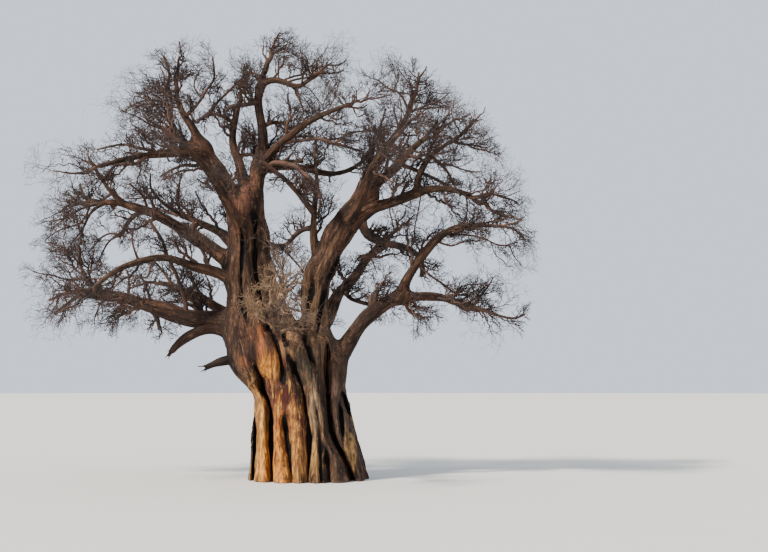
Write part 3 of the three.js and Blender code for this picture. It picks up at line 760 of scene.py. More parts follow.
def new_group(name, kind, inputs, outputs):
    """A node group with named sockets. Each is a name, a socket type and a default value."""
    tree = bpy.data.node_groups.new(name, kind)
    for label, socket, value in inputs:
        made = tree.interface.new_socket(label, in_out="INPUT", socket_type=socket)
        if value is not None:
            made.default_value = value
    for label, socket in outputs:
        tree.interface.new_socket(label, in_out="OUTPUT", socket_type=socket)
    return tree, tree.nodes.new("NodeGroupInput").outputs, tree.nodes.new("NodeGroupOutput").inputs


def plain(red, green, blue):
    """A colour as a painter's chart gives it, 0 to 255, as the linear values that a shader needs."""
    return tuple((v / 255) ** GAMMA for v in (red, green, blue)) + (1.0,)


def mixed(tree, factor, first, second):
    """Two colours mixed. The sockets 6 and 7 are the ones that take colours."""
    return add(tree, "ShaderNodeMix", {0: factor, 6: first, 7: second}, data_type="RGBA").outputs[2]


def maths(tree, operation, first, second=0.0, third=0.0):
    return add(tree, "ShaderNodeMath", {0: first, 1: second, 2: third}, operation=operation).outputs[0]


def ramp(tree, value, low, high):
    """Smoothly from 0 at low to 1 at high."""
    node = add(tree, "ShaderNodeMapRange", {"Value": value, "From Min": low, "From Max": high},
               interpolation_type="SMOOTHSTEP")
    return node.outputs["Result"]


print("a chart's middle grey is", round(plain(128, 128, 128)[0], 3), "to a shader")

# %% The streaks and the sprayed patches
STREAK_ROUGHNESS = 0.62
PATCH_STRETCH = (6.5, 3.0, 0.8)  # of the noise that makes a patch ragged
PATCH_DETAIL = 5.0
PATCH_ROUGHNESS = 0.65
PATCH_EDGE = (0.35, 1.15)  # where a patch starts to fade and where it ends, as shares of its size
streaks, taken, given = new_group(
    "Streaks", "ShaderNodeTree",
    [("Grain", "NodeSocketVector", None), ("Across", "NodeSocketFloat", 8.0),
     ("Lengthwise", "NodeSocketFloat", 0.8), ("Detail", "NodeSocketFloat", 4.0)],
    [("Streak", "NodeSocketFloat")],
)
stretch = add(streaks, "ShaderNodeCombineXYZ", {
    "X": taken["Across"], "Y": taken["Across"], "Z": taken["Lengthwise"]})
scaled = add(streaks, "ShaderNodeVectorMath", {0: taken["Grain"], 1: stretch.outputs[0]},
             operation="MULTIPLY")
noise = add(streaks, "ShaderNodeTexNoise", {
    "Vector": scaled.outputs[0], "Scale": 1.0, "Detail": taken["Detail"], "Roughness": STREAK_ROUGHNESS})
streaks.links.new(noise.outputs["Fac"], given["Streak"])

patch, taken, given = new_group(
    "Sprayed patch", "ShaderNodeTree",
    [("Place", "NodeSocketVector", None), ("Centre", "NodeSocketVector", (0, 0, 0)),
     ("Size", "NodeSocketVector", (1, 1, 1)), ("Ragged", "NodeSocketFloat", 3.0)],
    [("Mask", "NodeSocketFloat")],
)
from_centre = add(patch, "ShaderNodeVectorMath", {0: taken["Place"], 1: taken["Centre"]},
                  operation="SUBTRACT")
in_sizes = add(patch, "ShaderNodeVectorMath", {0: from_centre.outputs[0], 1: taken["Size"]},
               operation="DIVIDE")
distance = add(patch, "ShaderNodeVectorMath", {0: in_sizes.outputs[0]}, operation="LENGTH")
stretched_place = add(patch, "ShaderNodeVectorMath", {0: taken["Place"], 1: PATCH_STRETCH},
                      operation="MULTIPLY")
blotches = add(patch, "ShaderNodeTexNoise", {
    "Vector": stretched_place.outputs[0], "Scale": 1.0, "Detail": PATCH_DETAIL, "Roughness": PATCH_ROUGHNESS})
uneven = maths(patch, "MULTIPLY_ADD", blotches.outputs["Fac"], taken["Ragged"],
               distance.outputs["Value"])
uneven = maths(patch, "SUBTRACT", uneven, maths(patch, "MULTIPLY", taken["Ragged"], 0.5))
patch.links.new(maths(patch, "SUBTRACT", 1.0, ramp(patch, uneven, *PATCH_EDGE)), given["Mask"])
print("groups:", streaks.name, "and", patch.name)

# %% The bark's colours
HIGH_DARK = plain(33, 23, 19)
HIGH_BROWN = plain(84, 58, 44)
LOW_DARK = plain(68, 52, 41)
LOW_BROWN = plain(118, 90, 66)
LOW_CENTRE = (-0.7, 0.0, 3.6)  # of the trunk's paler bark
LOW_SIZE = (2.5, 3.4, 5.8)
# painted shade: the near black that the bark is painted in its deepest folds
FOLD_PAINTED_SHADE = plain(15, 10, 9)
LINE_DARK = plain(40, 27, 22)
FLAKE_DARK = plain(36, 25, 21)
# paler bark: on the flakes it is wear, and on the ridges it is wear together with a painted highlight
WORN_AND_PAINTED_HIGHLIGHT = plain(168, 138, 108)
MAROON = plain(88, 34, 27)
SUNLIT = plain(234, 164, 78)
TORN_CENTRE = (-0.85, -1.6, 2.0)  # where the outer bark is torn off, so that the inner bark is flecked
TORN_SIZE = (1.25, 1.5, 2.8)
CONTRAST = (0.38, 0.62)  # the part of a noise over which one colour turns into another
STREAK_SIZES = {  # fineness across and lengthwise, detail
    "broad": (2.6, 0.5, 4),
    "fine": (11, 1.2, 5),
    "flecks": (7, 2.2, 6),
    "flakes": (21, 3.4, 6),
}
LAYERS = [  # what it follows, where it is nothing and where full, strength, colour, only on torn bark
    # ridges made paler by wear and by a painted highlight
    ("ridges", 0.15, 0.8, 0.25, WORN_AND_PAINTED_HIGHLIGHT, False),
    ("fine", 0.54, 0.38, 0.7, LINE_DARK, False),
    ("flecks", 0.52, 0.59, 0.75, MAROON, True),
    ("flecks", 0.46, 0.38, 0.5, SUNLIT, True),
    ("flakes", 0.52, 0.38, 0.5, FLAKE_DARK, False),
    ("flakes", 0.56, 0.7, 0.3, WORN_AND_PAINTED_HIGHLIGHT, False),
    # painted shade: the deeper a point lies in a fold, the nearer to black it is painted
    ("folds", 0.02, 0.42, 1.0, FOLD_PAINTED_SHADE, False),
]
BUMPS = {"fine": 0.8, "broad": 0.6, "flakes": 0.5}  # how much each streak stands out
BUMP_HEIGHT = 0.06
BARK_ROUGHNESS = 0.88
BARK_SHINE = 0.25
SPRAYS = [  # colour, centre, size, strength
    (plain(188, 128, 60), (-1.1, -1.6, 1.2), (1.4, 1.5, 2.1), 0.8),
    (plain(222, 150, 62), (-1.57, -1.6, 1.6), (0.42, 1.5, 2.3), 0.85),
    (plain(222, 166, 92), (-1.55, -1.7, 2.1), (0.2, 1.4, 1.0), 0.6),
    (plain(210, 132, 52), (-0.92, -1.7, 1.2), (0.4, 1.5, 1.7), 0.8),
    (plain(172, 122, 70), (-0.22, -1.7, 1.0), (0.34, 1.5, 1.5), 0.8),
    (plain(128, 64, 38), (-0.9, -1.7, 2.35), (0.5, 1.4, 0.9), 0.5),
    (plain(80, 36, 28), (-0.72, -1.7, 1.8), (0.14, 1.4, 1.3), 0.75),
    (plain(90, 44, 33), (-0.2, -1.7, 1.7), (0.22, 1.4, 1.1), 0.6),
    (plain(84, 48, 35), (-1.15, -1.6, 3.9), (0.8, 1.4, 1.5), 0.85),
    (plain(54, 27, 23), (-1.45, -1.6, 3.3), (0.46, 1.4, 0.7), 0.85),
    (plain(50, 25, 21), (-0.78, -1.6, 3.05), (0.68, 1.4, 0.75), 0.85),
    (plain(206, 132, 64), (-0.98, -1.6, 2.7), (0.12, 1.4, 0.6), 0.8),
    (plain(196, 122, 62), (-0.5, -1.6, 2.7), (0.08, 1.4, 0.5), 0.7),
    (plain(220, 142, 56), (-1.42, -1.5, 3.95), (0.36, 1.4, 0.6), 0.85),
    (plain(212, 140, 66), (-1.04, -1.5, 4.2), (0.18, 1.4, 0.9), 0.85),
    (plain(176, 124, 70), (-1.95, -1.4, 3.0), (0.4, 1.4, 0.95), 0.8),
    (plain(190, 158, 116), (-2.05, -1.3, 1.3), (0.34, 1.4, 1.5), 0.75),
    (plain(88, 58, 43), (-1.8, -1.4, 5.2), (1.0, 1.4, 1.2), 0.9),
    (plain(168, 98, 58), (-1.6, -1.4, 4.9), (0.16, 1.4, 0.8), 0.65),
    # painted shadow on the trunk under the root of great_low_left
    (plain(34, 23, 19), (-2.45, -0.8, 4.9), (0.5, 1.1, 0.7), 0.85),
    (plain(150, 92, 60), (-2.15, -1.4, 4.15), (0.36, 1.3, 0.3), 0.65),
    # painted shade: near black in a hollow on the trunk's left, about 4.3 m up
    (plain(20, 14, 12), (-1.95, -1.6, 4.3), (0.28, 1.4, 0.6), 0.95),
    (plain(70, 66, 54), (-0.2, -1.6, 3.95), (0.62, 1.3, 1.0), 0.9),
    (plain(146, 124, 98), (0.3, -1.7, 2.4), (0.26, 1.4, 1.3), 0.75),
    (plain(176, 132, 80), (0.3, -1.7, 0.7), (0.32, 1.4, 0.8), 0.7),
    (plain(66, 54, 44), (1.25, -1.5, 2.6), (0.8, 1.5, 2.6), 0.7),
    (plain(160, 118, 100), (0.95, -1.6, 3.3), (0.2, 1.4, 0.4), 0.6),
    (plain(170, 130, 80), (1.6, -1.4, 1.1), (0.3, 1.4, 0.8), 0.7),
    (plain(148, 112, 82), (-0.58, -1.2, 5.05), (0.45, 1.2, 0.75), 0.75),
    (plain(124, 82, 66), (-2.6, -0.5, 9.9), (0.7, 1.2, 1.7), 0.6),
    (plain(16, 11, 10), (-2.6, -0.6, 10.6), (0.2, 1.0, 0.7), 0.95),
    (plain(46, 31, 26), (-3.7, -0.2, 4.8), (1.6, 1.5, 1.5), 0.95),
    # painted shade: near black on the short stub, and its painted shadow on the trunk beside it
    (plain(22, 16, 14), (-3.2, -0.35, 4.15), (1.3, 0.9, 0.55), 1.0),
    (plain(46, 33, 28), (1.9, -0.2, 4.6), (1.3, 1.4, 1.8), 0.9),
    (plain(196, 134, 70), (-0.9, 1.6, 1.6), (1.1, 1.5, 1.9), 0.8),
    (plain(90, 42, 32), (0.2, 1.6, 3.0), (0.7, 1.4, 0.8), 0.75),
    (plain(186, 148, 100), (1.3, 1.4, 1.4), (0.6, 1.4, 1.5), 0.7),
]
print(len(SPRAYS), "sprayed patches, and", len(LAYERS), "layers over them")


# %% Paint the bark
def paint_bark(name):
    """A material for the trunk or the boughs, with all its layers."""
    material = bpy.data.materials.new(name)
    material.use_nodes = True
    tree = material.node_tree
    shader = tree.nodes["Principled BSDF"]
    place = add(tree, "ShaderNodeTexCoord").outputs["Object"]
    grain_of = add(tree, "ShaderNodeAttribute", attribute_name="grain").outputs["Vector"]
    depth_in_fold = add(tree, "ShaderNodeAttribute", attribute_name="cavity").outputs["Fac"]

    def streak(across, lengthwise, detail):
        sockets = {"Grain": grain_of, "Across": across, "Lengthwise": lengthwise, "Detail": detail}
        node = add(tree, "ShaderNodeGroup", sockets, node_tree=streaks)
        return node.outputs["Streak"]

    def sprayed(centre, size):
        node = add(tree, "ShaderNodeGroup", {"Place": place, "Centre": centre, "Size": size}, node_tree=patch)
        return node.outputs["Mask"]

    pattern = {kind: streak(*sizes) for kind, sizes in STREAK_SIZES.items()}
    # depth in a fold is the mask of the painted shade in the folds
    pattern["folds"] = depth_in_fold
    # height on a ridge is the mask of the wear and the painted highlight there
    pattern["ridges"] = maths(tree, "MULTIPLY", depth_in_fold, -1)
    torn_bark = sprayed(TORN_CENTRE, TORN_SIZE)
    mottling = ramp(tree, pattern["broad"], *CONTRAST)
    high = mixed(tree, mottling, HIGH_DARK, HIGH_BROWN)
    low = mixed(tree, mottling, LOW_DARK, LOW_BROWN)
    colour = mixed(tree, sprayed(LOW_CENTRE, LOW_SIZE), high, low)
    for shade, centre, size, strength in SPRAYS:
        covered = maths(tree, "MULTIPLY", sprayed(centre, size), strength)
        colour = mixed(tree, covered, colour, shade)
    for followed, nothing, full, strength, shade, only_torn in LAYERS:
        covered = maths(tree, "MULTIPLY", ramp(tree, pattern[followed], nothing, full), strength)
        if only_torn:
            covered = maths(tree, "MULTIPLY", covered, torn_bark)
        colour = mixed(tree, covered, colour, shade)
    tree.links.new(colour, shader.inputs["Base Color"])
    shader.inputs["Roughness"].default_value = BARK_ROUGHNESS
    shader.inputs["Specular IOR Level"].default_value = BARK_SHINE
    height = 0.0
    for kind, weight in BUMPS.items():
        height = maths(tree, "MULTIPLY_ADD", pattern[kind], weight, height)
    bump = add(tree, "ShaderNodeBump", {"Height": height, "Strength": 1.0, "Distance": BUMP_HEIGHT})
    tree.links.new(bump.outputs[0], shader.inputs["Normal"])
    return material


trunk_bark = paint_bark("trunk bark")
bough_bark = paint_bark("bough bark")
print("painted:", trunk_bark.name, "and", bough_bark.name)

# %% [markdown]
# ## The bark in pieces
# A piece of more than 200,000 triangles is too heavy to hand on, so the skin is cut into the foot, the
# trunk and four groups of boughs. The cuts run through the forks. On both sides of a cut the points and
# their normals are the same, so no seam shows. Each cut is closed by a cap that is sunk into the wood.

# %% The pieces of bark
BARK_PIECES = {
    "bark_trunk": ["trunk", "hooked_stub", "short_stub"],
    "bark_left": ["left_stem", "great_left", "great_left_low", "lower_left_inner", "great_low_left",
                  "low_left_riser", "back_left"],
    "bark_high_left": ["upper_left", "top_left", "high_left", "far_left_high", "front_left"],
    "bark_centre": ["middle_stem", "centre_stem", "centre_right_arm", "crossing_high", "crossing_low",
                    "back_high", "front_low", "back_centre"],
    "bark_right": ["right_stem", "right_low", "back_right", "centre_fork", "right_high",
                   "right_diagonal", "right_outer", "right_sweep", "right_low_riser", "front_right"],
    "bark_foot": ["trunk"],
}
ON_TRUNK = ["bark_trunk", "bark_foot"]
FOOT_TOP = 2.2  # height up to which the trunk's skin is the foot's piece
BORDER_ROUNDS = 8  # how often the border between two pieces is smoothed
CAP_SINK = 0.06  # metres that a cut's cap lies inside the wood
CAP_ROUNDS = 3  # how often the cap's rim is smoothed
print(len(BARK_PIECES), "pieces of bark, with caps", CAP_SINK, "m inside the wood")


# %% Find the rims and close them
def rims(faces, count):
    """The open edges of some faces, as closed loops of points."""
    start = faces.ravel()
    end = np.roll(faces, -1, axis=1).ravel()
    forward = start * count + end
    open_edges = ~np.isin(forward, end * count + start)
    following = {}
    for a, b in zip(start[open_edges].tolist(), end[open_edges].tolist()):
        following.setdefault(a, []).append(b)
    loops = []
    while following:
        first = next(iter(following))
        loop = [first]
        while True:
            here = loop[-1]
            ends = following[here]
            after = ends.pop()
            if not ends:
                del following[here]
            if after == first:
                break
            loop.append(after)
        loops.append(loop)
    return loops


def cap(loop, points):
    """Triangles that close a loop. Its corners are cut off one at a time, so none leaves its outline."""
    ring = points[loop] - points[loop].mean(axis=0)
    across = np.cross(ring, np.roll(ring, -1, axis=0)).sum(axis=0)
    across /= np.linalg.norm(across)
    side = np.cross(across, np.eye(3)[np.abs(across).argmin()])
    side /= np.linalg.norm(side)
    flat = ring @ np.column_stack([side, np.cross(across, side)])
    left = list(range(len(loop)))
    made = []
    k = 0
    misses = 0
    while len(left) > 3:
        forced = misses >= len(left)
        if forced:
            spans = flat[np.roll(left, 1)] - flat[np.roll(left, -1)]
            k = int(np.linalg.norm(spans, axis=1).argmin())
        a, b, c = left[k - 1], left[k], left[(k + 1) % len(left)]
        others = flat[[p for p in left if p not in (a, b, c)]]
        inside = np.ones(len(others), dtype=bool)
        for p, q in ((a, b), (b, c), (c, a)):
            edge = flat[q] - flat[p]
            inside &= edge[0] * (others[:, 1] - flat[p, 1]) - edge[1] * (others[:, 0] - flat[p, 0]) >= 0
        turn = flat[b] - flat[a], flat[c] - flat[b]
        clean = turn[0][0] * turn[1][1] - turn[0][1] * turn[1][0] > 0 and not inside.any()
        if clean or forced:
            made.append((loop[c], loop[b], loop[a]))
            left.pop(k)
            misses = 0
        else:
            misses += 1
        k = (k + 1) % len(left)
    made += [(loop[c], loop[b], loop[left[0]]) for b, c in zip(left[1:], left[2:])]
    return made


def filled(values, count):
    """Values for the skin's points, and the last one again for the caps' points after them."""
    return np.concatenate([values, np.repeat(values[-1:], count - len(values), axis=0)])


square = np.array([(0, 0, 0), (1, 0, 0), (1, 1, 0), (0, 1, 0)])
print("a square is closed with", len(cap([0, 1, 2, 3], square)), "triangles")

# %% Cut the skin into its pieces
piece_of = np.zeros(len(NAMES), dtype=int)
for number, (piece_name, members) in enumerate(BARK_PIECES.items()):
    if piece_name != "bark_foot":
        piece_of[[NAMES.index(member) for member in members]] = number
label = piece_of[owner]
label[(label == 0) & (skin[:, 2] < FOOT_TOP)] = list(BARK_PIECES).index("bark_foot")
shares = np.eye(len(BARK_PIECES))[label]
label = averaged(shares, BORDER_ROUNDS).argmax(axis=1)
bark = {}
for number, (piece_name, members) in enumerate(BARK_PIECES.items()):
    faces = quads[label[quads[:, 0]] == number]
    used, flat = np.unique(faces, return_inverse=True)
    faces = flat.reshape(-1, 4)
    points = skin[used]
    piece_normals = normals[used]
    loops = rims(faces, len(points))
    closing = []
    for loop in loops:
        rim = points[loop] - CAP_SINK * piece_normals[loop]
        for _ in range(CAP_ROUNDS):
            rim = (np.roll(rim, 1, axis=0) + rim + np.roll(rim, -1, axis=0)) / 3
        sunk = list(range(len(points), len(points) + len(loop)))
        points = np.vstack([points, rim])
        for k in range(len(loop)):
            closing.append((loop[k], loop[k - 1], sunk[k - 1], sunk[k]))
        closing += cap(sunk, points)
    mesh = bpy.data.meshes.new(piece_name)
    mesh.from_pydata(points.tolist(), [], faces.tolist() + closing)
    mesh.polygons.foreach_set("use_smooth", np.ones(len(mesh.polygons), dtype=bool))
    stored = mesh.attributes.new("cavity", "FLOAT", "POINT")
    stored.data.foreach_set("value", filled(cavity[used], len(points)))
    stored = mesh.attributes.new("grain", "FLOAT_VECTOR", "POINT")
    stored.data.foreach_set("vector", filled(grain[used], len(points)).ravel())
    mesh.normals_split_custom_set_from_vertices(filled(piece_normals, len(points)).tolist())
    mesh.materials.append(trunk_bark if piece_name in ON_TRUNK else bough_bark)
    bark[piece_name] = bpy.data.objects.new(piece_name, mesh)
    bpy.context.scene.collection.objects.link(bark[piece_name])
    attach(bark[piece_name], "root")
    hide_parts(*members)
    triangles = sum(len(polygon.vertices) - 2 for polygon in mesh.polygons)
    print(piece_name, triangles, "triangles,", len(loops), "cuts closed")

# %% [markdown]
# ## Limbs that fork on from the boughs
# What gives this crown its character is the middle size: limbs as thick as an arm or a leg that fork on
# from the boughs, wind about and end in a spread of twigs. They are described as a forester would sketch
# them from the front. `limb` takes the share of its carrier's length at which a limb leaves, its own
# length, which way it points at its root, its middle and its tip, and its thickness at both ends, in
# millimetres. It points to the right at 0, up at 90, to the left at 180 and down at 270. The limbs that
# fork from it follow inside the same brackets. What runs towards the viewer or away can't be read from
# the front, so that is drawn at random.

# %% The forked limbs' sizes
def limb(at, length, points, thick, *forks):
    return dict(at=at, length=length, points=points, thick=thick, forks=forks)


FORKED = {
    "great_left": [
        limb(1.0, 2200, (150, 122, 144), (160, 65), limb(0.45, 550, (10, 60, 95), (70, 42))),
        limb(0.99, 2150, (190, 162, 192), (145, 65)),
        limb(0.98, 2800, (208, 202, 202), (110, 42),
             limb(0.5, 1350, (205, 215, 210), (58, 36)),
             limb(0.18, 2100, (265, 210, 245), (90, 42))),
        limb(0.92, 2250, (200, 230, 230), (145, 55), limb(0.5, 1000, (255, 270, 270), (64, 36))),
        limb(0.69, 1450, (195, 225, 208), (215, 145),
             limb(1.0, 1500, (135, 228, 200), (95, 42)),
             limb(1.0, 1500, (180, 240, 215), (95, 42))),
        limb(0.8, 1950, (135, 128, 105), (200, 90), limb(0.3, 1250, (205, 183, 145), (100, 54))),
        limb(0.67, 1100, (115, 120, 135), (108, 65)),
    ],
    "great_left_low": [
        limb(1.0, 1200, (215, 200, 170), (120, 50)),
        limb(0.75, 1300, (110, 95, 80), (90, 45)),
        limb(0.88, 1200, (240, 230, 200), (80, 40)),
    ],
    "back_left": [
        limb(0.97, 2000, (140, 135, 80), (160, 72), limb(0.55, 1250, (185, 183, 155), (92, 54))),
        limb(0.93, 1800, (138, 90, 74), (145, 72)),
    ],
    "upper_left": [
        limb(0.8, 2000, (195, 192, 205), (180, 58)),
    ],
    "far_left_high": [
        limb(0.5, 2000, (135, 185, 200), (145, 65)),
        limb(0.55, 750, (200, 170, 220), (90, 54)),
        limb(0.55, 1800, (200, 212, 230), (145, 80)),
    ],
    "high_left": [
        limb(0.1, 3000, (170, 185, 153), (160, 65), limb(0.5, 600, (300, 310, 340), (80, 54))),
        limb(1.0, 2100, (130, 175, 222), (125, 54),
             limb(0.2, 1150, (192, 190, 210), (80, 42)),
             limb(0.15, 1250, (115, 145, 150), (72, 42))),
        limb(1.0, 2100, (104, 86, 145), (110, 70)),
        limb(0.9, 1100, (155, 140, 170), (80, 42)),
        limb(0.7, 1700, (185, 165, 150), (90, 42)),
        limb(0.4, 1900, (190, 200, 175), (90, 42)),
    ],
    "top_left": [
        limb(1.0, 2200, (100, 68, 22), (145, 58)),
        limb(0.97, 1250, (150, 180, 120), (90, 54)),
        limb(0.55, 2350, (20, 60, 88), (145, 65), limb(0.42, 1250, (130, 95, 75), (80, 42))),
    ],
    "middle_stem": [
        limb(0.85, 1450, (170, 175, 250), (145, 125), limb(0.7, 2200, (60, 52, 74), (125, 54))),
        limb(0.72, 450, (135, 140, 160), (110, 86)),
        limb(0.5, 1000, (3, 2, 2), (130, 120)),
    ],
    "great_low_left": [
        limb(1.0, 1500, (190, 215, 225), (150, 90)),
        limb(0.98, 1250, (180, 180, 180), (58, 36)),
        limb(0.78, 1950, (195, 170, 188), (145, 72)),
        limb(0.83, 850, (195, 195, 225), (145, 54), limb(0.5, 1350, (180, 255, 297), (54, 32))),
        limb(0.77, 1100, (90, 92, 120), (108, 72)),
        limb(0.62, 1150, (100, 105, 105), (108, 72)),
        limb(0.64, 950, (310, 295, 270), (215, 125)),
        limb(0.52, 900, (310, 315, 325), (54, 36)),
        limb(0.6, 1150, (180, 205, 220), (54, 36)),
        limb(0.4, 3500, (92, 110, 117), (180, 105)),
    ],
    "low_left_riser": [
        limb(0.45, 2450, (130, 140, 163), (90, 42)),
        limb(0.5, 1400, (110, 130, 95), (72, 54)),
        limb(0.4, 1550, (80, 88, 100), (65, 42)),
        limb(0.42, 1800, (172, 178, 152), (100, 42)),
    ],
    "lower_left_inner": [
        limb(0.9, 1400, (120, 130, 130), (125, 72)),
        limb(0.75, 800, (45, 30, 30), (108, 92)),
    ],
    "centre_stem": [
        limb(1.0, 1250, (115, 112, 178), (90, 42)),
        limb(1.0, 1550, (62, 45, 40), (80, 42)),
        limb(0.73, 1000, (180, 115, 110), (108, 46), limb(0.55, 850, (80, 85, 75), (48, 36))),
        limb(0.74, 360, (90, 90, 90), (110, 100)),
        limb(0.72, 1150, (180, 195, 230), (170, 150)),
        limb(0.57, 950, (5, 15, 45), (170, 110), limb(0.9, 450, (265, 255, 250), (60, 40))),
        limb(0.36, 1500, (4, 2, -8), (150, 130)),
        limb(0.3, 3000, (10, -25, -88), (190, 150)),
    ],
    "centre_right_arm": [
        limb(0.55, 2200, (37, 6, 42), (90, 46),
             limb(0.4, 950, (100, 0, 5), (65, 42)),
             limb(0.6, 750, (60, 45, 20), (55, 36))),
        limb(1.0, 750, (28, 24, 20), (108, 70)),
        limb(0.65, 1050, (-75, -40, -30), (42, 32)),
        limb(0.85, 1250, (-15, -50, -55), (42, 32)),
        limb(0.4, 1350, (102, 78, 12), (54, 36)),
        limb(0.92, 1050, (95, 75, 112), (42, 32)),
    ],
    "crossing_high": [
        limb(0.16, 3500, (75, -4, 12), (140, 45)),
        limb(0.27, 3250, (-4, 2, 18), (150, 60), limb(0.5, 1200, (-15, -12, -8), (110, 80))),
        limb(1.0, 850, (0, -10, 52), (100, 45), limb(0.45, 500, (-60, -30, 50), (50, 34))),
        limb(0.8, 1200, (60, 65, 75), (44, 32)),
        limb(0.78, 1450, (115, 60, 58), (44, 32)),
    ],
    "crossing_low": [
        limb(1.0, 1850, (48, 70, 65), (130, 55), limb(0.6, 650, (0, 8, -5), (44, 36))),
        limb(0.98, 580, (-35, -5, 5), (58, 42)),
        limb(0.8, 1250, (-38, 0, -60), (58, 42)),
    ],
    "centre_fork": [
        limb(0.6, 2450, (140, 130, 178), (210, 130),
             limb(0.8, 950, (-20, -70, -145), (50, 40)),
             limb(0.45, 1250, (-78, -62, -90), (46, 36))),
        limb(0.4, 1900, (175, 208, 140), (180, 170), limb(0.75, 2150, (-50, -48, -75), (90, 55))),
    ],
    "right_stem": [
        limb(0.14, 2200, (110, 97, 97), (260, 190)),
    ],
    "right_high": [
        limb(1.0, 2000, (86, 70, 97), (180, 55),
             limb(0.35, 1400, (140, 165, 195), (50, 35)),
             limb(0.45, 1050, (140, 125, 115), (65, 40)),
             limb(0.7, 500, (12, 8, 10), (42, 32))),
        limb(0.98, 1650, (120, 140, 185), (90, 45), limb(0.5, 1150, (90, 80, 112), (60, 35))),
        limb(0.96, 2500, (15, 30, 130), (90, 42), limb(0.2, 1650, (12, 14, 32), (70, 36))),
        limb(0.84, 750, (-12, 5, 65), (65, 38)),
        limb(0.75, 1200, (90, 105, 62), (80, 45)),
        limb(0.62, 520, (-45, -45, -45), (125, 110)),
    ],
    "right_diagonal": [
        limb(1.0, 1150, (25, 15, -50), (90, 50), limb(0.35, 400, (95, 97, 98), (85, 70))),
        limb(0.5, 1900, (-28, -18, -15), (145, 110)),
        limb(0.68, 520, (-15, -5, 0), (125, 110)),
    ],
    "right_sweep": [
        limb(1.0, 2350, (18, 22, -32), (110, 32), limb(0.1, 1800, (-25, -12, -72), (58, 36))),
        limb(0.95, 1150, (98, 112, 95), (65, 36)),
        limb(1.0, 1100, (92, 55, 0), (58, 32)),
        limb(0.8, 1550, (-32, 0, 5), (90, 45), limb(0.35, 1250, (-52, -16, -42), (80, 45))),
        limb(0.42, 1350, (-42, -50, -60), (125, 90), limb(0.35, 1450, (12, -25, 2), (85, 45))),
    ],
    "right_outer": [
        limb(1.0, 1800, (10, 2, -45), (140, 50),
             limb(0.5, 900, (8, 8, 12), (65, 36)),
             limb(0.2, 850, (-75, -58, -72), (72, 50))),
        limb(0.95, 1120, (-90, -95, -98), (65, 58)),
        limb(0.65, 1750, (-100, -98, -105), (54, 42)),
        limb(0.45, 850, (-22, -25, -30), (40, 30)),
        limb(0.2, 3300, (-85, -15, -105), (320, 210), limb(0.4, 1150, (222, 210, 190), (180, 160))),
    ],
    "right_low_riser": [
        limb(1.0, 2150, (3, -14, -36), (125, 60)),
        limb(0.98, 1350, (22, 12, -20), (72, 42)),
        limb(0.62, 2850, (18, -14, 18), (90, 48),
             limb(0.88, 900, (-55, -62, -64), (50, 32)),
             limb(0.62, 1000, (-50, -50, -68), (42, 32))),
        limb(0.55, 1650, (-8, -5, 20), (80, 42)),
        limb(0.33, 2300, (-45, -30, -8), (88, 72)),
    ],
    "right_low": [
        limb(1.0, 3150, (6, -24, 50), (180, 72),
             limb(0.27, 1350, (45, 52, 70), (108, 54)),
             limb(0.05, 1350, (95, 15, 14), (58, 42))),
        limb(0.96, 1300, (-28, -10, -20), (145, 105)),
        limb(0.72, 1150, (-92, -70, 8), (90, 45), limb(0.3, 600, (-50, -50, -50), (50, 36))),
    ],
    "back_right": [
        limb(0.45, 1800, (-22, -27, -24), (165, 140)),
    ],
    "front_low": [
        limb(0.14, 1900, (24, 4, 34), (120, 50)),
    ],
}
HOSTS = {"upper_left": "high_left", "right_stem": "right_high"}  # whose mass a twigless bough's limbs join
print(len(FORKED), "boughs carry forked limbs")

# %% Paths of the forked limbs
DEPTH_DRIFT = (0.15, 0.75)  # least and most run towards the viewer or away, for each metre across
LIMB_SWAY = 0.13
LIMB_SWAY_RATE = 2  # bends for each one that a bough of this length has
LIMB_KNOB_RATE = 4
LEAST_STEPS, LEAST_KEPT = 4, 3  # of a short limb, and of one that is cut at the crown's edge
CROWN_CENTRE = np.array((-1200, 200, 7500)) * MM
CROWN_RADII = np.array((9650, 8300, 8850)) * MM
CROWN_POWER = 2.2
TWIG_ROOM = 0.6  # metres that a limb's tip leaves to the crown's edge, for the twigs on it
FORK_SWELLING = 0.45
FORK_SWELLING_REACH = 3  # in radii of its root
DRIFT_SEED = 17
drifts = np.random.default_rng(DRIFT_SEED)
turn_about = itertools.cycle((1, -1))  # one limb runs away from the viewer, the next towards the viewer


def forked_path(carrier, row):
    """The path of a limb that is described from the front. It drifts in depth by a seeded amount."""
    start = along(carrier, row["at"])[0]
    length = row["length"] * MM
    steps = max(LEAST_STEPS, round(length / LIMB_STEP))
    turns = np.radians(through(row["points"], (np.arange(steps) + 0.5) / steps))
    drift = next(turn_about) * drifts.uniform(*DEPTH_DRIFT)
    ways = np.column_stack([np.cos(turns), np.full(steps, drift), np.sin(turns)])
    places = np.vstack([start, start + np.cumsum(ways, axis=0) * length / steps])
    shares = np.abs(places - CROWN_CENTRE) / (CROWN_RADII - TWIG_ROOM)
    outside = np.flatnonzero((shares ** CROWN_POWER).sum(axis=1) > 1)
    if len(outside):
        kept = max(int(outside[0]), LEAST_KEPT)
        length *= kept / steps
        steps = kept
        places = places[:steps + 1]
    thick, thin = np.array(row["thick"]) * MM / 2
    share = np.linspace(0, 1, steps + 1)
    swelling = 1 + FORK_SWELLING * np.exp(-share * length / (FORK_SWELLING_REACH * thick))
    knobs = 1 + KNOBS * sway(steps + 1, LIMB_KNOB_RATE * length)[:, 0]
    radii = (thick + (thin - thick) * share) * swelling * knobs
    return places + LIMB_SWAY * sway(steps + 1, LIMB_SWAY_RATE * length), radii


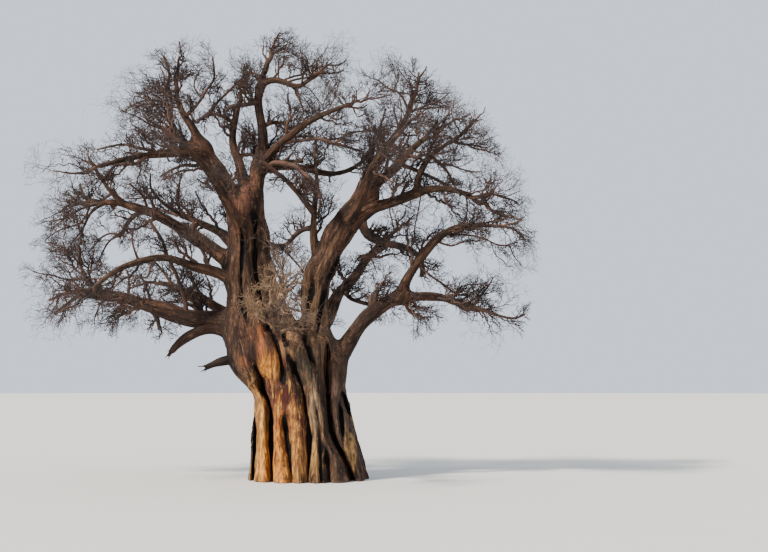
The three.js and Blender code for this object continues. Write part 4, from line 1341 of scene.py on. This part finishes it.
def forked_limbs(carrier, rows):
    """The paths of some limbs on a carrier, and of all that fork from them."""
    found = []
    for row in rows:
        path = forked_path(carrier, row)
        found += [path, *forked_limbs(path, row["forks"])]
    return found


forked = {}
for name, rows_of_limbs in FORKED.items():
    forked.setdefault(HOSTS.get(name, name), []).extend(forked_limbs(limbs[name], rows_of_limbs))
print("forked limbs:", sum(len(found) for found in forked.values()))

# %% [markdown]
# ## Bare twigs
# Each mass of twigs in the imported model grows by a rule: a stem goes on from the bough's tip, and each
# level of twigs grows from the one before, at places a golden share apart, with random numbers that are
# the same at every run. A twig is kept only if it stays in its mass's own space and clear of the limbs.
# The same rule and the same numbers are written again here, so the thick twigs lie where the solids do,
# and more levels carry it on down to the fine ones.

# %% The rule's numbers
CROWN_FOCUS = CROWN_CENTRE - (0, 0, 3)  # the place that twigs on the limbs turn away from
JOINT_GAP = 0.4 * MM
TWIG_CLEARANCE = 40 * MM
SPACE_MARGIN = 25 * MM
STEM = dict(tries=12, span=0.85, steps=3, wander=0.18, taper=0.42)
SOURCE_LEVELS = [
    dict(tries=24, count=6, first=0.1, angle=60, span=0.85, steps=2, wander=0.3, thin=0.62, tip=0.009),
    dict(tries=8, count=2, first=0.35, angle=48, span=0.5, steps=1, wander=0.3, thin=0.66, tip=0.009),
]
FINE_LEVELS = [
    dict(tries=9, count=3, first=0.15, angle=50, span=0.36, steps=3, wander=0.4, thin=0.55, tip=0.010),
    dict(tries=5, count=2, first=0.2, angle=46, span=0.24, steps=2, wander=0.4, thin=0.62, tip=0.009),
    dict(tries=3, count=2, first=0.3, angle=42, span=0.11, steps=1, wander=0.3, thin=0.7, tip=0.007),
]
DRAWN_SHARE = 0.7  # of a solid twig's thickness, at which its bark is drawn
SIDE_LEVEL = dict(tries=24, count=7, first=0.25, angle=55, span=0.8, steps=5, wander=0.35, thin=0.42,
                  tip=0.02)
SIDE_LIMBS = 5  # on a bough that has forked limbs of its own
OPEN_BOUGHS = ["right_outer", "right_low_riser", "right_low", "right_sweep", "great_low_left",
               "lower_left_inner", "great_left_low"]  # these get the full count
LIMB_LEVELS = [  # on limbs, with spans in metres. The first level's count goes by the limb's length
    dict(first=0.15, angle=55, span=0.85, steps=4, wander=0.42, thin=0.4, tip=0.013),
    dict(tries=10, count=5, first=0.2, angle=50, span=0.45, steps=3, wander=0.42, thin=0.6, tip=0.010),
    dict(tries=5, count=3, first=0.2, angle=46, span=0.22, steps=2, wander=0.35, thin=0.65, tip=0.008),
]
TWIGS_PER_METRE = 5.8
GOLDEN_SHARE = 0.618
GOLDEN_ANGLE = 137.5
ROLL_SPREAD = 60
ANGLE_SPREAD = (0.75, 1.25)
LENGTH_SPREAD = (0.75, 1.15)
SHORTER_AT_TIP = 0.3
OUTWARD_PULL = 0.22
TESTED_SHARES = (0.35, 0.5, 0.65, 0.8, 0.9, 1)
FIRST_MASS_SEED = 101
FINE_SEED, SIDE_SEED, LIMB_SEED = 500, 900, 1000  # what sets one kind of twig off from the next
WORD = 2 ** 32
DRAW_FACTOR, DRAW_STEP = 1664525, 1013904223
SEED_FACTOR, SEED_STEP = 31, 7919
CENTRE_SHARE = 0.5
UP = np.array((0.0, 0.0, 1.0))
EAST = np.array((1.0, 0.0, 0.0))
NEARLY_ALONG = 0.9
print(len(SOURCE_LEVELS), "levels as in the packed model, and", len(FINE_LEVELS), "finer ones")


# %% Seeded numbers and directions
class Draw:
    """Numbers from 0 to 1 that are the same at every run for the same seed."""

    def __init__(self, seed):
        self.state = seed % WORD

    def __call__(self):
        self.state = (self.state * DRAW_FACTOR + DRAW_STEP) % WORD
        return self.state / WORD


def child_seed(seed, number):
    return (seed * SEED_FACTOR + (number + 1) * SEED_STEP) % WORD


def unit(vector):
    return vector / math.sqrt(vector @ vector)


def turned(vector, axis, degrees):
    """A vector turned about a unit axis."""
    c = math.cos(math.radians(degrees))
    s = math.sin(math.radians(degrees))
    return vector * c + np.cross(axis, vector) * s + axis * (axis @ vector) * (1 - c)


def aside(direction, angle, roll):
    """A direction tilted by an angle, towards a side that roll chooses."""
    reference = EAST if abs(direction[2]) > NEARLY_ALONG else UP
    side = turned(unit(np.cross(direction, reference)), direction, roll)
    return turned(direction, side, angle)


print("straight up, tilted by 60 degrees:", aside(UP, 60, 0).round(2).tolist())

# %% Where a twig may grow
carriers = [name for name, bough in BOUGHS.items() if "reach" in bough]
space_reach = np.array([BOUGHS[name]["reach"] for name in carriers]) * MM
space_centre = np.array([
    even_paths[name][0][-1]
    + heading(BOUGHS[name]["bearing"][1], BOUGHS[name]["lift"]) * BOUGHS[name]["reach"] * MM * CENTRE_SHARE
    for name in carriers
])


def inside_crown(places, margin):
    shares = np.abs(places - CROWN_CENTRE) / (CROWN_RADII - margin[:, None])
    return ((shares ** CROWN_POWER).sum(axis=1) < 1).all()


def inside_space(places, radii, own):
    """True where all places lie in a mass's own space, a ball less what is nearer to another mass."""
    margin = radii + SPACE_MARGIN
    depth = np.linalg.norm(places[:, None] - space_centre, axis=2) - space_reach
    mine = depth[:, own].copy()
    if (mine > -margin).any():
        return False
    depth[:, own] = np.inf
    return (depth.min(axis=1) - mine > 2 * margin).all() and inside_crown(places, margin)


def clear_of_limbs(places, radii):
    """True where the field of distances says that all places lie outside the wood."""
    index = np.rint((places - field_low) / CELL).astype(int)
    inside = ((index >= 0) & (index < field_shape)).all(axis=1)
    index = index[inside]
    return (field[index[:, 0], index[:, 1], index[:, 2]] > radii[inside] + TWIG_CLEARANCE).all()


def sampled(path):
    """Places and radii along a path at which it is tested."""
    places, radii = path
    at = np.array(TESTED_SHARES) * (len(places) - 1)
    k = np.minimum(at.astype(int), len(places) - 2)
    share = at - k
    where = places[k] + (places[k + 1] - places[k]) * share[:, None]
    return where, radii[k] + (radii[k + 1] - radii[k]) * share


print(len(carriers), "masses, the largest", round(float(2 * space_reach.max()), 1), "m across")

# %% How a twig grows
KINK_STEP = 0.16  # metres between two kinks of a twig
KINK = 0.23  # how far a kink strays, as a share of that
KINK_SEED = 5
kinks = np.random.default_rng(KINK_SEED)


def twig_path(start, direction, length, radii, level, pull, draw):
    """A twig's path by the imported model's rule: straight steps that wander and are pulled outwards."""
    root, tip = radii
    steps = level["steps"]
    places = [start]
    forward = direction
    for k in range(1, steps + 1):
        if k > 1:
            shake = np.array((draw() - 0.5, draw() - 0.5, draw() - 0.5))
            forward = unit(forward + shake * 2 * level["wander"] + pull * OUTWARD_PULL)
        places.append(places[-1] + forward * (length / steps))
    return np.array(places), np.linspace(root, tip, steps + 1)


def kinked(path, length):
    """The same path bent smoothly, with the small kinks of a real twig."""
    places, radii = path
    count = max(len(places) - 1, math.ceil(length / KINK_STEP))
    at = np.linspace(0, len(places) - 1, count + 1)
    k = np.minimum(at.astype(int), len(places) - 2)
    t = (at - k)[:, None]
    ends = np.vstack([2 * places[0] - places[1], places, 2 * places[-1] - places[-2]])
    p0, p1, p2, p3 = ends[k], ends[k + 1], ends[k + 2], ends[k + 3]
    smooth = 0.5 * (2 * p1 + (p2 - p0) * t + (2 * p0 - 5 * p1 + 4 * p2 - p3) * t ** 2
                    + (3 * p1 - p0 - 3 * p2 + p3) * t ** 3)
    stray = kinks.normal(size=(count + 1, 3)) * (KINK * length / count)
    stray[0] = 0
    return smooth + stray, np.interp(at, np.arange(len(radii)), radii)


def grow(carrier, levels, depth, seed, reach, centre, fits, grown_twigs):
    """Grows one level of twigs on a carrier, and the finer levels on each of those."""
    if depth >= len(levels):
        return
    level = levels[depth]
    count = 0
    for i in range(level["tries"]):
        if count >= level["count"]:
            break
        twig_seed = child_seed(seed, i)
        draw = Draw(twig_seed)
        first = level["first"]
        share = first + (1 - first) * ((i * GOLDEN_SHARE + draw() / level["count"]) % 1)
        base, ahead, thick = along(carrier, share)
        roll = i * GOLDEN_ANGLE + ROLL_SPREAD * draw()
        low, high = ANGLE_SPREAD
        direction = aside(ahead, level["angle"] * (low + (high - low) * draw()), roll)
        low, high = LENGTH_SPREAD
        length = reach * level["span"] * (low + (high - low) * draw()) * (1 - SHORTER_AT_TIP * share)
        outwards = unit(base - centre)
        tip = min(level["tip"], thick * level["thin"])
        twig = twig_path(base, direction, length, (thick * level["thin"], tip), level, outwards, draw)
        if not fits(*sampled(twig)):
            continue
        count += 1
        bent = kinked(twig, length)
        grown_twigs.append(bent)
        grow(bent, levels, depth + 1, twig_seed, reach, centre, fits, grown_twigs)


print("a twig kinks every", KINK_STEP, "m")


# %% Grow every mass
def grow_mass(number):
    """All twigs of one mass, and the side twigs on the bough that carries it."""
    name = carriers[number]
    even = even_paths[name]
    reach = space_reach[number]
    centre = space_centre[number]
    twigs = []

    def fits(places, radii):
        return inside_space(places, radii, number) and clear_of_limbs(places, radii)

    tip_place, tip_ahead, tip_thick = along(even, 1)
    start = tip_place + tip_ahead * JOINT_GAP
    pull = unit(centre - tip_place) - tip_ahead
    seed = FIRST_MASS_SEED + number
    for i in range(STEM["tries"]):
        radii = (tip_thick, tip_thick * STEM["taper"])
        stem = twig_path(start, tip_ahead, reach * STEM["span"], radii, STEM, pull, Draw(child_seed(seed, i)))
        if fits(*sampled(stem)):
            break
    stem = kinked(stem, reach * STEM["span"])
    twigs.append(stem)
    grow(stem, SOURCE_LEVELS, 0, seed, reach, centre, fits, twigs)
    for k, (places, radii) in enumerate(twigs):
        root_share = 1 if k == 0 else DRAWN_SHARE
        twigs[k] = (places, radii * np.linspace(root_share, DRAWN_SHARE, len(radii)))
    for k, carrier in enumerate(list(twigs)):
        grow(carrier, FINE_LEVELS, 0, child_seed(seed, FINE_SEED + k), reach, centre, fits, twigs)

    def side_fits(places, radii):
        return inside_crown(places, radii + SPACE_MARGIN) and clear_of_limbs(places, radii)

    side_limbs = []
    side_count = SIDE_LIMBS if name in FORKED and name not in OPEN_BOUGHS else SIDE_LEVEL["count"]
    side_level = dict(SIDE_LEVEL, count=side_count)
    grow(limbs[name], [side_level], 0, child_seed(seed, SIDE_SEED), reach, CROWN_FOCUS, side_fits, side_limbs)
    for k, carrier in enumerate([*side_limbs, *forked.get(name, [])]):
        twigs.append(carrier)
        length = np.linalg.norm(np.diff(carrier[0], axis=0), axis=1).sum()
        count = round(TWIGS_PER_METRE * length)
        levels = [dict(LIMB_LEVELS[0], count=count, tries=2 * count), *LIMB_LEVELS[1:]]
        grow(carrier, levels, 0, child_seed(seed, LIMB_SEED + k), 1.0, CROWN_FOCUS, side_fits, twigs)
    return twigs


masses = {name: grow_mass(number) for number, name in enumerate(carriers)}
print("twigs:", sum(len(twigs) for twigs in masses.values()))
print("straight bits:", sum(len(places) - 1 for twigs in masses.values() for places, _ in twigs))

# %% [markdown]
# Thousands of tubes that follow paths are work for Geometry Nodes. Each mass goes in as bare edges with a
# radius at every point. The tree turns the edges into curves, sweeps a small ring along each, with more
# sides where the twig is thick, closes the ends, and gives them all their material.

# %% A tree of nodes that turns paths into twigs
THICK_SIDES, THIN_SIDES = 7, 3
tubes, taken, given = new_group(
    "Twig tubes", "GeometryNodeTree",
    [("Geometry", "NodeSocketGeometry", None), ("Thick Sides", "NodeSocketInt", THICK_SIDES),
     ("Thin Sides", "NodeSocketInt", THIN_SIDES), ("Bark", "NodeSocketMaterial", None)],
    [("Geometry", "NodeSocketGeometry")],
)
curves = add(tubes, "GeometryNodeMeshToCurve", {"Mesh": taken["Geometry"]}).outputs[0]
radius = add(tubes, "GeometryNodeInputNamedAttribute", {"Name": "radius"}, data_type="FLOAT")
thick_ones = add(tubes, "GeometryNodeInputNamedAttribute", {"Name": "thick"}, data_type="FLOAT")
is_thick = add(tubes, "FunctionNodeCompare", {0: thick_ones.outputs[0], 1: 0.5}, data_type="FLOAT",
               operation="GREATER_THAN")
parted = add(tubes, "GeometryNodeSeparateGeometry", {"Geometry": curves, "Selection": is_thick.outputs[0]},
             domain="CURVE")
joined = add(tubes, "GeometryNodeJoinGeometry")
for which, sides in zip(parted.outputs, ("Thick Sides", "Thin Sides")):
    ring = add(tubes, "GeometryNodeCurvePrimitiveCircle", {"Resolution": taken[sides], "Radius": 1.0})
    tube = add(tubes, "GeometryNodeCurveToMesh", {
        "Curve": which, "Profile Curve": ring.outputs[0], "Scale": radius.outputs[0], "Fill Caps": True})
    tubes.links.new(tube.outputs[0], joined.inputs[0])
smooth = add(tubes, "GeometryNodeSetShadeSmooth", {"Geometry": joined.outputs[0]})
real = add(tubes, "GeometryNodeRealizeInstances", {"Geometry": smooth.outputs[0]})
finished = add(tubes, "GeometryNodeSetMaterial", {"Geometry": real.outputs[0], "Material": taken["Bark"]})
tubes.links.new(finished.outputs[0], given["Geometry"])
socket_of = {item.name: item.identifier for item in tubes.interface.items_tree if item.in_out == "INPUT"}
print("inputs:", ", ".join(socket_of))

# %% Paint the twigs
TWIG_DARK = plain(42, 30, 27)
TWIG_BROWN = plain(72, 54, 48)
LIMB_DARK = plain(38, 26, 22)
LIMB_BROWN = plain(82, 56, 43)
SPECK = plain(112, 90, 76)
SPECK_RANGE = (0.55, 0.8)
PALE = plain(158, 128, 96)  # of the twigs in front of the fork, which catch the sun
PALE_CENTRE = (-1.2, -3.2, 6.6)
PALE_SIZE = (3.0, 3.2, 3.0)
PALE_SHARE = 0.6
MOTTLE_SCALE = 1.7
SPECK_SCALE = 28.0
SPECK_BUMP = 0.4
SPECK_HEIGHT = 0.004
TWIG_ROUGHNESS = 0.8
twig_bark = bpy.data.materials.new("twig bark")
twig_bark.use_nodes = True
tree = twig_bark.node_tree
shader = tree.nodes["Principled BSDF"]
place = add(tree, "ShaderNodeTexCoord").outputs["Object"]
mottle = add(tree, "ShaderNodeTexNoise", {"Vector": place, "Scale": MOTTLE_SCALE, "Detail": 4.0})
specks = add(tree, "ShaderNodeTexNoise", {"Vector": place, "Scale": SPECK_SCALE, "Detail": 3.0})
speckle = specks.outputs["Fac"]
thickness = add(tree, "ShaderNodeAttribute", attribute_name="thick").outputs["Fac"]
in_front = add(tree, "ShaderNodeGroup", {"Place": place, "Centre": PALE_CENTRE, "Size": PALE_SIZE},
               node_tree=patch)
mottling = ramp(tree, mottle.outputs["Fac"], *CONTRAST)
colour = mixed(tree, mottling, TWIG_DARK, TWIG_BROWN)
colour = mixed(tree, thickness, colour, mixed(tree, mottling, LIMB_DARK, LIMB_BROWN))
colour = mixed(tree, ramp(tree, speckle, *SPECK_RANGE), colour, SPECK)
colour = mixed(tree, maths(tree, "MULTIPLY", in_front.outputs["Mask"], PALE_SHARE), colour, PALE)
tree.links.new(colour, shader.inputs["Base Color"])
shader.inputs["Roughness"].default_value = TWIG_ROUGHNESS
bump = add(tree, "ShaderNodeBump", {"Height": speckle, "Strength": SPECK_BUMP, "Distance": SPECK_HEIGHT})
tree.links.new(bump.outputs[0], shader.inputs["Normal"])
print("twigs:", twig_bark.name)

# %% Make the twigs of every mass
THICK_TWIG = 0.028  # a twig whose root has this radius gets more sides


def twig_piece(name, twigs):
    """One object of tubes for the paths of a mass."""
    mesh = bpy.data.meshes.new(name + " paths")
    counts = np.array([len(places) for places, _ in twigs])
    points = np.vstack([places for places, _ in twigs])
    radii = np.concatenate([radii for _, radii in twigs])
    firsts = np.repeat(np.cumsum(counts) - counts, counts)
    numbers = np.arange(len(points))
    starts = numbers[numbers + 1 < firsts + np.repeat(counts, counts)]
    mesh.vertices.add(len(points))
    mesh.vertices.foreach_set("co", points.ravel())
    mesh.edges.add(len(starts))
    mesh.edges.foreach_set("vertices", np.column_stack([starts, starts + 1]).ravel())
    stored = mesh.attributes.new("radius", "FLOAT", "POINT")
    stored.data.foreach_set("value", radii)
    stored = mesh.attributes.new("thick", "FLOAT", "POINT")
    stored.data.foreach_set("value", (radii[firsts] > THICK_TWIG).astype(float))
    source = bpy.data.objects.new(name + " paths", mesh)
    bpy.context.scene.collection.objects.link(source)
    modifier = source.modifiers.new("twigs", "NODES")
    modifier.node_group = tubes
    modifier[socket_of["Thick Sides"]] = THICK_SIDES
    modifier[socket_of["Thin Sides"]] = THIN_SIDES
    modifier[socket_of["Bark"]] = twig_bark
    result = source.evaluated_get(bpy.context.evaluated_depsgraph_get())
    made = bpy.data.meshes.new_from_object(result)
    made.name = name
    source.modifiers.remove(modifier)
    bpy.data.objects.remove(source)
    bpy.data.meshes.remove(mesh)
    piece = bpy.data.objects.new(name, made)
    bpy.context.scene.collection.objects.link(piece)
    return piece


total = 0
for name, twigs in masses.items():
    piece = twig_piece(f"crown_{name}", twigs)
    triangles = sum(len(p.vertices) - 2 for p in piece.data.polygons)
    total += triangles
    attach(piece, "root")
    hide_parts(f"twigs_{name}")
    print(piece.name, triangles, "triangles")
print("all twigs:", total, "triangles")
